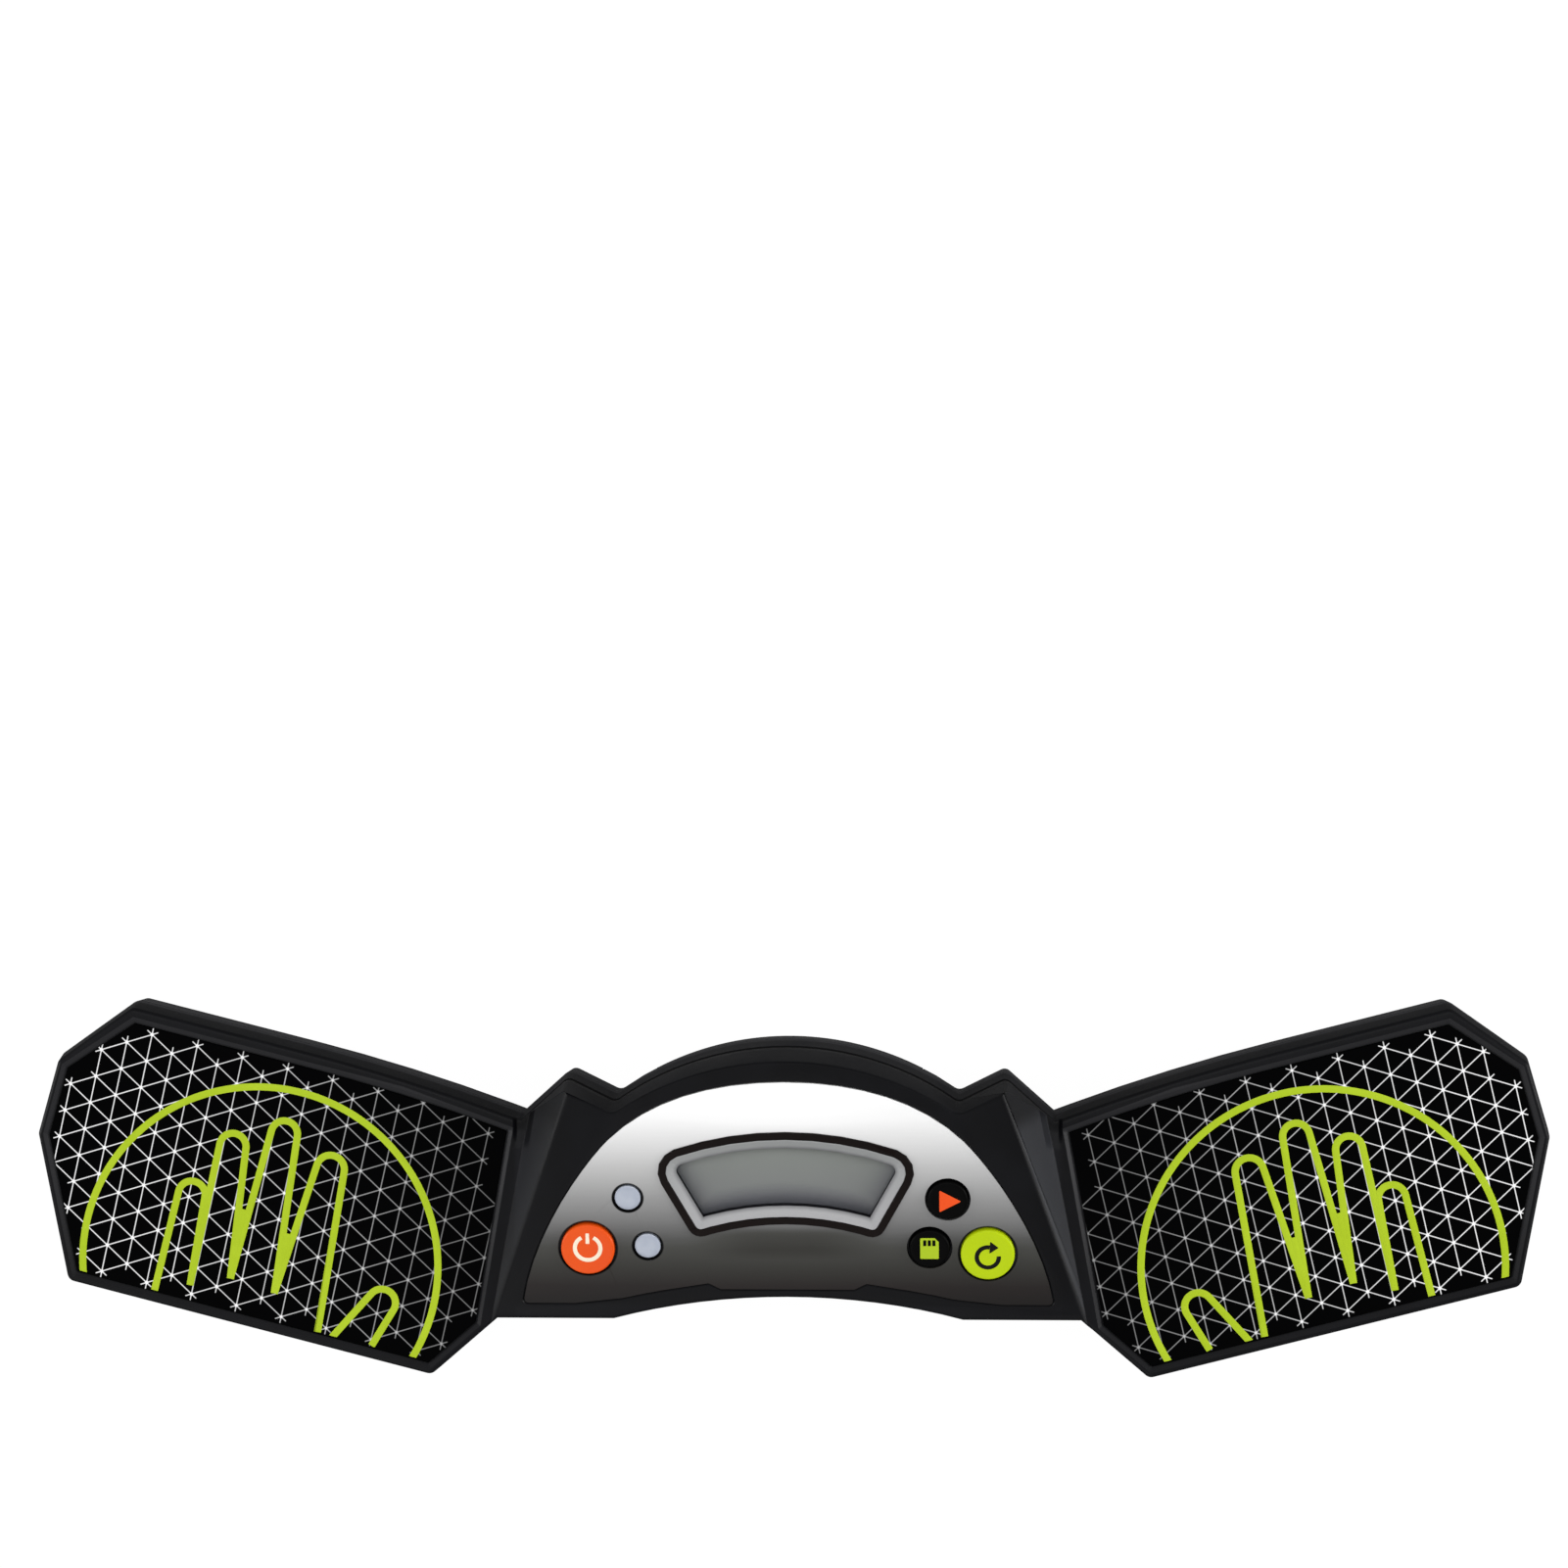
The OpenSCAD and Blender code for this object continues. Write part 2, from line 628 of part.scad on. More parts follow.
// ---------- faceplate ----------
// Right half of the faceplate, from the centre of its lower edge round to its top
front_rim_low = -(console_front_y - front_arc_rise) / cos(face_slope);
plate_rise = front_rim_low + plate_front_rim;
tongue_y = plate_rise - 1.9;
tongue_slant = 2.3;
side_run = 9.7;
plate_corner = [plate_half, -plate_low];
plate_turn = [plate_turn_x, plate_turn_y];
plate_top_at = [0, plate_top];
side_pull = [[-2.2, 14.5], [4, -4.1]];
top_pull = [[-7.7, 7.8], [13.8, 0]];
plate_half_corners = concat(
    [[0, tongue_y, 0], [tongue_half, tongue_y, 0.6],
     [tongue_half + tongue_slant, tongue_y + tongue_depth, 0.6]],
    [for (x = [19:4:31]) [x, plate_rise - x * x / (2 * front_arc_r), 0]],
    [[plate_half - side_run, -plate_low, 3], [plate_corner.x, plate_corner.y, 0.8]],
    [for (i = [1:9])
        let (p = bezier(plate_corner, plate_corner + side_pull[0],
                        plate_turn + side_pull[1], plate_turn, i / 10))
        [p.x, p.y, 0]],
    [for (i = [0:7])
        let (p = bezier(plate_turn, plate_turn + top_pull[0],
                        plate_top_at + top_pull[1], plate_top_at, i / 8))
        [p.x, p.y, 0]],
    [[0, plate_top, 0]]
);
function plate_outline(d) = outline(both_halves(plate_half_corners), d);

// The window is a ring sector with rounded corners
window_half_corners = concat(
    centre_arc(-window_low - window_low_r, window_low_r, 1, window_half_low, 5),
    [[window_half_low, -window_low - window_low_r
        + sqrt(pow(window_low_r, 2) - pow(window_half_low, 2)), window_low_corner_r],
     [window_half_top, window_top - window_top_r
        + sqrt(pow(window_top_r, 2) - pow(window_half_top, 2)), window_top_corner_r]],
    reversed(centre_arc(window_top - window_top_r, window_top_r, 1, window_half_top, 5))
);
function window_outline(d) = outline(both_halves(window_half_corners), d);
window_hub = [0, 5];

module faceplate() {
    color(plate_silver) difference() {
        face_prism(plate_outline(0), plate_floor, -plate_sink);
        face_prism(window_outline(-0.05), -big / 8, big / 8);
        for (b = button_spots)
            at_face(b[0], plate_floor - through)
                cylinder(h = plate_t + 2 * through, r = b[1] + clearance + collar_w);
        for (p = led_spots)
            at_face(p, plate_floor - through)
                cylinder(h = plate_t + 2 * through, r = led_r + clearance + collar_w);
    }
}
module window_trim() {
    color([0.16, 0.1, 0.09]) difference() {
        face_prism(window_outline(0), plate_floor, ring_proud);
        face_prism(window_outline(ring_w), -big / 8, big / 8);
    }
}
module display_bezel() {
    color([0.62, 0.62, 0.63]) difference() {
        face_prism(window_outline(ring_w + 0.05), plate_floor, 0.1);
        on_face() loft([window_outline(ring_w + bezel_w), window_outline(ring_w + bezel_w),
                        window_outline(ring_w + 0.25)],
                       [plate_floor - through, plate_floor + 0.2, 0.1 + 0.01], window_hub);
    }
}
module display_lens() {
    color([0.7, 0.74, 0.72, 0.4])
        face_prism(window_outline(ring_w + bezel_w - 1), lens_low, roof_under);
}

// ---------- display stack ----------
lcd_low_y = -5.6;
holder_wall = 1;
module face_block(x0, x1, y0, y1, w0, w1) {
    on_face() translate([x0, y0, w0]) cube([x1 - x0, y1 - y0, w1 - w0]);
}
module lcd_panel() {
    color([0.5, 0.53, 0.5])
        face_block(-lcd_w / 2, lcd_w / 2, lcd_low_y, lcd_low_y + lcd_d, lcd_low, lcd_top);
}
module lcd_holder() {
    fit = 0.1;
    color([0.85, 0.85, 0.83]) difference() {
        face_block(-lcd_w / 2 - holder_wall, lcd_w / 2 + holder_wall, lcd_low_y - holder_wall,
                   lcd_low_y + lcd_d + holder_wall, board_top, lcd_top);
        face_block(-lcd_w / 2 - fit, lcd_w / 2 + fit, lcd_low_y - fit, lcd_low_y + lcd_d + fit,
                   lcd_low, lcd_top + through);
        face_block(-lcd_w / 2 + 1.5, lcd_w / 2 - 1.5, lcd_low_y + 0.5, lcd_low_y + lcd_d - 1.5,
                   board_top - through, lcd_top);
    }
}
module zebra_strip() {
    color([0.9, 0.55, 0.6])
        face_block(-lcd_w / 2 + 2, lcd_w / 2 - 2, lcd_low_y + 0.6, lcd_low_y + 2.6, board_top, lcd_low);
}

// ---------- board and what is on it ----------
board_corners = [
    [-20, -16.4, 1], [20, -16.4, 1], [29, -20.4, 1], [43, -20.4, 1], [43, -3, 1], [41, 6, 1],
    [33, 12.6, 1], [-33, 12.6, 1], [-41, 6, 1], [-43, -3, 1], [-43, -20.4, 1], [-29, -20.4, 1]
];
lead_pitch = 2.54;
red_end = [31, 7.5];
black_end = [31, 11];
touch_end = [40.5, -4];
wire_r = 0.4;
lead_holes = [red_end, black_end, touch_end, flipped(touch_end)];

module main_board() {
    color(board_green) difference() {
        face_prism(outline(board_corners, 0), board_low, board_top);
        for (p = board_screw_spots)
            at_face(p, board_low - through)
                cylinder(h = board_t + 2 * through, r = board_screw_r + clearance);
        for (p = led_spots)
            for (side = [-1, 1])
                at_face([p.x + side * lead_pitch / 2, p.y], board_low - through)
                    cylinder(h = board_t + 2 * through, r = 0.45);
    }
}
processor_size = [7, 4.8, 1.2];
processor_at = [5, -15.4];
pin_pitch = 0.85;
pin_w = 0.4;
pin_reach = 0.6;
module processor() {
    color([0.08, 0.08, 0.09]) at_face(processor_at, board_top) union() {
        cube(processor_size);
        for (i = [0:7])
            translate([0.3 + pin_pitch * i, -pin_reach, 0])
                cube([pin_w, processor_size.y + 2 * pin_reach, 0.3]);
    }
}
crystal_at = [-9, -13];
crystal_l = 6;
crystal_r = 1;
module crystal() {
    color(steel_grey) at_face(crystal_at, board_top) union() {
        translate([0, 0, crystal_r])
            rotate([0, 90, 0])
                cylinder(h = crystal_l, r = crystal_r);
        for (side = [-1, 1])
            translate([crystal_l - 0.2, side * 0.5 - 0.15, 0])
                cube([1.4, 0.3, crystal_r]);
    }
}
module led(p) {
    flange_h = 0.7;
    color([0.86, 0.89, 0.95]) at_face(p) union() {
        translate([0, 0, board_top]) cylinder(h = board_depth + 0.1, r = led_r);
        translate([0, 0, board_top]) cylinder(h = flange_h, r = led_r + 0.35);
        for (side = [-1, 1])
            translate([side * lead_pitch / 2 - 0.25, -0.25, board_low - 1])
                cube([0.5, 0.5, board_t + 1.1]);
    }
}
module led_upper() { led(led_upper_at); }
module led_lower() { led(led_lower_at); }

// A cap with a flange that the roof holds back
module button_cap(p, r, finish) {
    color(finish) at_face(p) union() {
        translate([0, 0, flange_low]) cylinder(h = button_proud - flange_low, r = r);
        translate([0, 0, flange_low]) cylinder(h = flange_t, r = r + 0.8);
    }
}
module power_button() { button_cap(power_at, big_button_r, [0.93, 0.27, 0.07]); }
module reset_button() { button_cap(reset_at, big_button_r, [0.72, 0.83, 0.06]); }
module play_button() { button_cap(play_at, small_button_r, [0.04, 0.04, 0.04]); }
module memory_button() { button_cap(memory_at, small_button_r, [0.04, 0.04, 0.04]); }

plunger_r = 1;
plunger_reach = 0.5;
module plunger(p) {
    color([0.85, 0.83, 0.78]) at_face(p, switch_top - plunger_reach)
        cylinder(h = flange_low - switch_top + plunger_reach, r = plunger_r);
}
module power_plunger() { plunger(power_at); }
module play_plunger() { plunger(play_at); }
module memory_plunger() { plunger(memory_at); }
module reset_plunger() { plunger(reset_at); }

module tact_switch(p) {
    leg_w = 0.7;
    color([0.12, 0.12, 0.13]) at_face(p, board_top) difference() {
        union() {
            translate([-switch_w / 2, -switch_w / 2, 0]) cube([switch_w, switch_w, switch_h]);
            for (sx = [-1, 1], sy = [-1, 1])
                translate([sx * (switch_w / 2 + 0.4) - 0.5, sy * 1.4 - leg_w / 2, 0])
                    cube([1, leg_w, 0.3]);
        }
        translate([0, 0, switch_h - plunger_reach - button_travel - clearance])
            cylinder(h = switch_h, r = plunger_r + clearance);
    }
}
module power_switch() { tact_switch(power_at); }
module play_switch() { tact_switch(play_at); }
module memory_switch() { tact_switch(memory_at); }
module reset_switch() { tact_switch(reset_at); }

// ---------- pads ----------
module pad_film() {
    color(film_black)
        translate([0, 0, pad_floor_z])
            linear_extrude(pad_t)
                polygon(outline(field_corners, pad_edge + clearance));
}
module right_pad() { pad_film(); }
module left_pad() { mirror([1, 0, 0]) pad_film(); }

module touch_plate() {
    color([0.8, 0.55, 0.3]) difference() {
        translate([0, 0, roof_under_z - touch_plate_t])
            linear_extrude(touch_plate_t)
                polygon(outline(field_corners, pad_edge + touch_plate_inset));
        for (p = case_screw_half)
            translate([p.x, p.y, 0])
                cylinder(h = wing_top, r = screw_bore_r + 1.5 + 0.4);
    }
}
module right_touch_plate() { touch_plate(); }
module left_touch_plate() { mirror([1, 0, 0]) touch_plate(); }

// A point on the underside of the board, and one straight below it along the face's normal
function face_point(x, y, w) =
    [x, y * cos(face_slope) - w * sin(face_slope),
     wing_top + face_start_y * tan(face_slope) + y * sin(face_slope) + w * cos(face_slope)];
function board_drop(spot, depth) = face_point(spot.x, spot.y, board_low - depth);

touch_start = [66, -6, roof_under_z - touch_plate_t];
touch_run = [[60, -6, 9], [52, -5.5, 8.4], [45, -5, 8.4]];
module touch_lead() {
    color([0.9, 0.9, 0.88])
        wire(concat([touch_start, touch_start - [0, 0, 1], touch_start - [1, 0, 1.8]], touch_run,
                    [board_drop(touch_end, 2.6) + [1.4, 0, 0], board_drop(touch_end, 1.6),
                     board_drop(touch_end, 0)]), wire_r);
}
module right_touch_lead() { touch_lead(); }
module left_touch_lead() { mirror([1, 0, 0]) touch_lead(); }

// ---------- power supply ----------
nub_l = 1.2;
nub_r = 1.9;
// A cell whose button end touches the contact on the given side
module cell(y, side) {
    end_x = bay_half - contact_t;
    color([0.2, 0.35, 0.6]) translate([side * end_x, y, cell_z]) rotate([0, -90 * side, 0]) union() {
        cylinder(h = nub_l + 0.5, r = nub_r);
        translate([0, 0, nub_l]) cylinder(h = cell_l - nub_l, r = cell_r);
    }
}
module battery_front() { cell(cell_front_y, 1); }
module battery_back() { cell(cell_back_y, -1); }

contact_top = bay_top - 0.3;
module contact_plate(side, y0, y1) {
    x0 = side > 0 ? bay_half - contact_t : -bay_half;
    translate([x0, y0, contact_low]) cube([contact_t, y1 - y0, contact_top - contact_low]);
}
module contact_spring(side, y) {
    translate([side * (bay_half - contact_t), y, cell_z])
        rotate([0, -90 * side, 0])
            cylinder(h = spring_l, r1 = 3.6, r2 = 2.2);
}
module contact_link() {
    color(steel_grey) union() {
        contact_plate(-1, cell_front_y - contact_w / 2, cell_back_y + contact_w / 2);
        contact_spring(-1, cell_front_y);
    }
}
tab_w = 2;
tab_top = bay_top + 0.9;
module contact_tab(y) {
    translate([bay_half - contact_t, y - tab_w / 2, contact_top - 0.1])
        cube([contact_t, tab_w, tab_top - contact_top + 0.1]);
}
module contact_positive() {
    color(steel_grey) union() {
        contact_plate(1, cell_front_y - contact_w / 2, cell_front_y + contact_w / 2);
        contact_tab(cell_front_y);
    }
}
module contact_negative() {
    color(steel_grey) union() {
        contact_plate(1, cell_back_y - contact_w / 2, cell_back_y + contact_w / 2);
        contact_tab(cell_back_y);
        contact_spring(1, cell_back_y);
    }
}
module battery_lead(y, end, finish) {
    start = [bay_half, y, bay_top + wire_r + 0.05];
    color(finish)
        wire([start, start + [1, 0, 0], start + [2.2, 0, 0.2],
              board_drop(end, 1.6) + [-0.8, 0, 0], board_drop(end, 0.9), board_drop(end, 0)], wire_r);
}
module battery_lead_red() { battery_lead(cell_front_y, red_end, [0.8, 0.08, 0.06]); }
module battery_lead_black() { battery_lead(cell_back_y, black_end, [0.05, 0.05, 0.05]); }

// ---------- feet and screws ----------
module foot(p) {
    color([0.2, 0.2, 0.21])
        translate([p.x, p.y, 0])
            cylinder(h = base_z + foot_sink, r = foot_r);
}
module foot_right_outer() { foot(foot_outer); }
module foot_right_inner() { foot(foot_inner); }
module foot_right_console() { foot(foot_console); }
module foot_left_outer() { foot(flipped(foot_outer)); }
module foot_left_inner() { foot(flipped(foot_inner)); }
module foot_left_console() { foot(flipped(foot_console)); }

// A pan-head screw with a cross recess; its head's seat is at z = 0 and its tip points up
module screw(shank_r, shank_l, head_r, head_h) {
    slot = head_r * 0.35;
    difference() {
        union() {
            translate([0, 0, -head_h]) cylinder(h = head_h, r = head_r);
            translate([0, 0, -0.1]) cylinder(h = shank_l + 0.1, r = shank_r);
        }
        for (turn = [0, 90])
            rotate([0, 0, turn])
                translate([-head_r * 0.6, -slot / 2, -head_h - through])
                    cube([head_r * 1.2, slot, head_h * 0.5 + through]);
    }
}
module case_screws() {
    color(steel_grey) for (p = case_screw_spots)
        translate([p.x, p.y, head_seat])
            screw(case_screw_r, case_screw_l, case_head_r, head_t);
}
module board_screws() {
    color(steel_grey) for (p = board_screw_spots)
        at_face(p, board_low)
            screw(board_screw_r, board_screw_tip - board_low, 1.7, 1.2);
}

bottom_cover();
top_cover();
battery_door();
faceplate();
window_trim();
display_bezel();
display_lens();
lcd_panel();
lcd_holder();
zebra_strip();
main_board();
processor();
crystal();
led_upper();
led_lower();
power_button();
play_button();
memory_button();
reset_button();
power_plunger();
play_plunger();
memory_plunger();
reset_plunger();
power_switch();
play_switch();
memory_switch();
reset_switch();
left_pad();
right_pad();
left_touch_plate();
right_touch_plate();
left_touch_lead();
right_touch_lead();
battery_front();
battery_back();
contact_link();
contact_positive();
contact_negative();
battery_lead_red();
battery_lead_black();
foot_left_outer();
foot_left_inner();
foot_left_console();
foot_right_outer();
foot_right_inner();
foot_right_console();
case_screws();
board_screws();
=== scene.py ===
# %% [markdown]
# # Speed cube timer
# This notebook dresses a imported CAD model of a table-top timer for speed cubing: a sloping console
# with a display, four buttons and two lamps, between two wings with printed touch pads.
# The CAD model fixes every size. The script imports it as a frame, keeps the pieces whose shape is
# already right, and models again those whose edges, domes or prints the camera sees.

import math

import bpy
from mathutils import Matrix, Vector


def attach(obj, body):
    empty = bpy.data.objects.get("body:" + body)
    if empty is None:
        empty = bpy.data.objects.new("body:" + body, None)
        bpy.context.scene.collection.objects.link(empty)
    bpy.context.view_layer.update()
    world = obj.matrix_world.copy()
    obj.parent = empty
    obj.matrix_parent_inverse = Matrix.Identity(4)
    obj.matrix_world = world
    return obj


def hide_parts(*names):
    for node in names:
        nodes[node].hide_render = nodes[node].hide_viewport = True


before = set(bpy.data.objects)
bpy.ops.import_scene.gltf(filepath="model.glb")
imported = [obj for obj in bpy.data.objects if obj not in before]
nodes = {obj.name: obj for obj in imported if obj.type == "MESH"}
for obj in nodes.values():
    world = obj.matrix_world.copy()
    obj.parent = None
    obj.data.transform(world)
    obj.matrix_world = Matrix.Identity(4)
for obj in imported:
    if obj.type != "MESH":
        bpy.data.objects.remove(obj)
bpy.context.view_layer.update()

# %% [markdown]
# ## Places
# Blender works in metres and this timer is drawn in millimetres, so one helper turns a point over.
# The console's face slopes. A second helper takes a point in the face's own terms: x to the right,
# v up the slope and w out of the face.

# %% Places on the timer
MM = 0.001
SLOPE = math.radians(11.77)
FACE_START_Y = 26.0
WING_TOP = 14.0
FACE_Z = WING_TOP + FACE_START_Y * math.tan(SLOPE)


def mm(x, y, z):
    """A point in millimetres, turned into Blender's metres."""
    return Vector((x, y, z)) * MM


def on_face(x, v, w=0.0):
    """A point on the sloping console: v runs up the slope, w stands out of it."""
    return mm(x, v * math.cos(SLOPE) - w * math.sin(SLOPE),
              FACE_Z + v * math.sin(SLOPE) + w * math.cos(SLOPE))


FACE_FRAME = Matrix.Translation(on_face(0, 0)) @ Matrix.Rotation(SLOPE, 4, "X")
print("console face starts at z =", round(FACE_Z, 2), "mm")

# %% [markdown]
# ## Shader maths
# A material is a graph of nodes, and wiring it by hand soon gets long. The class below wraps one
# output of a node. Python's own operators on it add Math nodes, so a mask can be written as a
# formula. `make` adds any other node: settings first, then the values or links of its sockets.

# %% A value in a material
class Value:
    def __init__(self, tree, socket):
        self.tree = tree
        self.socket = socket

    def make(self, kind, inputs, out=0, stops=None, **settings):
        node = self.tree.nodes.new(kind)
        for name, setting in settings.items():
            setattr(node, name, setting)
        if stops:
            ramp = node.color_ramp.elements
            while len(ramp) < len(stops):
                ramp.new(0.5)
            for element, (position, colour) in zip(ramp, stops):
                element.position = position
                element.color = (*colour, 1)
        for key, value in inputs.items():
            if isinstance(value, Value):
                self.tree.links.new(value.socket, node.inputs[key])
            else:
                node.inputs[key].default_value = value
        return Value(self.tree, node.outputs[out])

    def math(self, operation, *values, clamp=False):
        return self.make("ShaderNodeMath", dict(enumerate(values)),
                         operation=operation, use_clamp=clamp)

    def __add__(self, other):
        return self.math("ADD", self, other)

    def __sub__(self, other):
        return self.math("SUBTRACT", self, other)

    def __rsub__(self, other):
        return self.math("SUBTRACT", other, self)

    def __mul__(self, other):
        return self.math("MULTIPLY", self, other)

    def __truediv__(self, other):
        return self.math("DIVIDE", self, other)

    def __abs__(self):
        return self.math("ABSOLUTE", self)

    __radd__ = __add__

    def clamp(self):
        return self.math("ADD", self, 0.0, clamp=True)

    def root(self):
        return self.math("SQRT", self)

    def min(self, other):
        return self.math("MINIMUM", self, other)

    def max(self, other):
        return self.math("MAXIMUM", self, other)

    def smooth(self, low, high):
        """0 below low, 1 above high, and a soft step between them."""
        return self.make("ShaderNodeMapRange",
                         {"Value": self, "From Min": low, "From Max": high},
                         interpolation_type="SMOOTHSTEP")

    def blend(self, a, b):
        """Colour a where this value is 0 and b where it is 1. A colour may be text for rgb."""
        a, b = (rgba(c) if isinstance(c, str) else c for c in (a, b))
        return self.make("ShaderNodeMix", {"Factor": self, 6: a, 7: b}, out=2, data_type="RGBA")


# %% [markdown]
# ## Finishes
# Every finish starts from Blender's Principled shader. A number that is the same all over goes
# straight on its socket. What changes over the surface is linked. Patterns read Object
# coordinates: they are in metres, so they are turned into millimetres once, here.

# %% A finish
def rgb(text):
    """A screen colour such as 'b5d334', as Blender's linear colour."""
    channels = [int(text[i:i + 2], 16) / 255 for i in (0, 2, 4)]
    return tuple(c / 12.92 if c < 0.04045 else ((c + 0.055) / 1.055) ** 2.4 for c in channels)


def rgba(text):
    return (*rgb(text), 1)


class Finish:
    """A Principled material, with the point being shaded in mm as x, y, z."""

    def __init__(self, name, **constants):
        self.material = bpy.data.materials.new(name)
        self.material.use_nodes = True
        tree = self.material.node_tree
        self.shader = tree.nodes["Principled BSDF"]
        for key, value in constants.items():
            self.shader.inputs[key.replace("_", " ")].default_value = value
        start = tree.nodes.new("ShaderNodeTexCoord")
        metres = Value(tree, start.outputs["Object"])
        self.place = metres.make("ShaderNodeVectorMath", {0: metres, "Scale": 1000.0},
                                 operation="SCALE")
        self.x, self.y, self.z = (
            self.place.make("ShaderNodeSeparateXYZ", {0: self.place}, out=i) for i in range(3))

    def noise(self, size, detail=2.0, stretch=(1, 1, 1)):
        """Noise whose grains are about size mm across."""
        place = self.place.make("ShaderNodeVectorMath", {0: self.place, 1: stretch},
                                operation="MULTIPLY")
        return place.make("ShaderNodeTexNoise",
                          {"Vector": place, "Scale": 1.0 / size, "Detail": detail})

    def set(self, **links):
        for key, value in links.items():
            value.tree.links.new(value.socket, self.shader.inputs[key.replace("_", " ")])
        return self

    def bump(self, height, depth_mm):
        bump = {"Distance": depth_mm * MM, "Height": height}
        return self.set(Normal=height.make("ShaderNodeBump", bump))


def face_point(finish):
    """The shaded point's v and w on the sloping console, in mm."""
    rise = finish.z - FACE_Z
    v = finish.y * math.cos(SLOPE) + rise * math.sin(SLOPE)
    w = rise * math.cos(SLOPE) - finish.y * math.sin(SLOPE)
    return v, w


# %% [markdown]
# ## Moulded plastic
# The case is black plastic from a mould with a fine spark-eroded texture. It is never pure black:
# it has a cool grey sheen, tiny grain that breaks up the highlight, and cloudy changes in gloss
# where hands have rubbed it. The same recipe, with other colours, serves the small parts too.

# %% Plastic
def moulded(name, colour, pale, roughness=0.5, grain=0.25, relief=0.012, gloss=0.5, shade=None,
            groove=None):
    """Moulded plastic: colour drifts towards pale in faint clouds, over a fine grain.
    shade(finish, tone) may repaint that tone by place; groove(finish) is a height in mm."""
    finish = Finish(name, Specular_IOR_Level=gloss)
    clouds = finish.noise(9.0, 3.0).smooth(0.35, 0.75)
    speck = finish.noise(grain, 1.0)
    tint = (clouds * 0.55 + speck * 0.35).clamp()
    tone = tint.blend(colour, pale)
    if shade:
        tone = shade(finish, tone)
    finish.set(Base_Color=tone, Roughness=roughness - 0.06 + clouds * 0.08 + speck * 0.06)
    if groove:
        return finish.bump(speck * relief + groove(finish), 1.0)
    return finish.bump(speck, relief)


base_plastic = moulded("base_plastic", "28282b", "323235", roughness=0.54, gloss=0.2)
KEY_RELIEF = 0.004
orange_plastic = moulded("orange_plastic", "e04a0a", "e8560f",
                         roughness=0.4, relief=KEY_RELIEF, gloss=0.2)
lime_plastic = moulded("lime_plastic", "aec604", "b8d00a",
                       roughness=0.4, relief=KEY_RELIEF, gloss=0.15)
black_plastic = moulded("black_plastic", "010101", "030303",
                        roughness=0.5, relief=KEY_RELIEF, gloss=0.05)
pale_plastic = moulded("pale_plastic", "d8d6cf", "e8e6df", roughness=0.5)
ivory_plastic = moulded("ivory_finish", "cfc7b4", "ded8c8", roughness=0.5)
switch_plastic = moulded("switch_plastic", "16171a", "26282c", roughness=0.45)
rubber = moulded("rubber", "262729", "38393c", roughness=0.8, grain=0.5, relief=0.03)
print("plastics:", [m.name for m in bpy.data.materials])

# %% [markdown]
# ## The camera
# The picture was taken from almost overhead, about three quarters of a metre away. The camera's
# place and turn come from matching the outline's corners to the picture. The lens follows from the
# same match: 4000 pixels of focal length on a picture 1601 pixels wide.

# %% Camera
PICTURE = 1601
FOCAL_PIXELS = 4000
SENSOR = 36.0
turn = (Matrix.Rotation(math.radians(0.38), 3, "Z")
        @ Matrix.Rotation(math.radians(5.56), 3, "X")
        @ Matrix.Rotation(math.radians(-2.81), 3, "Y"))
to_camera = mm(1.3, -75.0, -746.4)
camera_data = bpy.data.cameras.new("camera")
camera_data.sensor_width = SENSOR
camera_data.lens = FOCAL_PIXELS * SENSOR / PICTURE
camera_data.clip_start = 0.01
camera = bpy.data.objects.new("camera", camera_data)
bpy.context.scene.collection.objects.link(camera)
camera.matrix_world = (turn.transposed().to_4x4()
                       @ Matrix.Translation(-to_camera))
bpy.context.scene.camera = camera
bpy.context.scene.view_settings.view_transform = "Standard"
print("camera at", [round(1000 * c) for c in camera.matrix_world.translation], "mm")

# %% [markdown]
# ## Helpers for modelling
# Blender's operators act on what is selected, so each step first takes hold of its piece. When a
# piece is ready, `settle` bakes its place into the mesh, paints it and ties it to a CAD body.

# %% Helpers for modelling
def mode(name):
    bpy.ops.object.mode_set(mode=name)


def select_none():
    if bpy.context.object and bpy.context.object.mode != "OBJECT":
        mode("OBJECT")
    bpy.ops.object.select_all(action="DESELECT")


def hold(piece):
    """Makes this piece the only one selected."""
    select_none()
    piece.select_set(True)
    bpy.context.view_layer.objects.active = piece


def named(name):
    piece = bpy.context.object
    piece.name = name
    piece.data.name = name
    return piece


def settle(piece, finish, body="case", replaces=()):
    """Bakes the place into the mesh, paints the piece and ties it to its CAD body."""
    hold(piece)
    bpy.ops.object.transform_apply(location=True, rotation=True, scale=True)
    piece.data.materials.clear()
    piece.data.materials.append(finish.material)
    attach(piece, body)
    if replaces:
        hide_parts(*replaces)


select_none()

# %% [markdown]
# ## Floor and light
# The timer lies on a pale floor under soft studio light. One large lamp hangs above, a little
# behind, and a weaker one fills from the front. Two low strips at the ends graze the flat tops and
# light the console's side facets, the right one more. The floor shows the camera plain white, yet
# still takes the soft shadow, through Light Path.

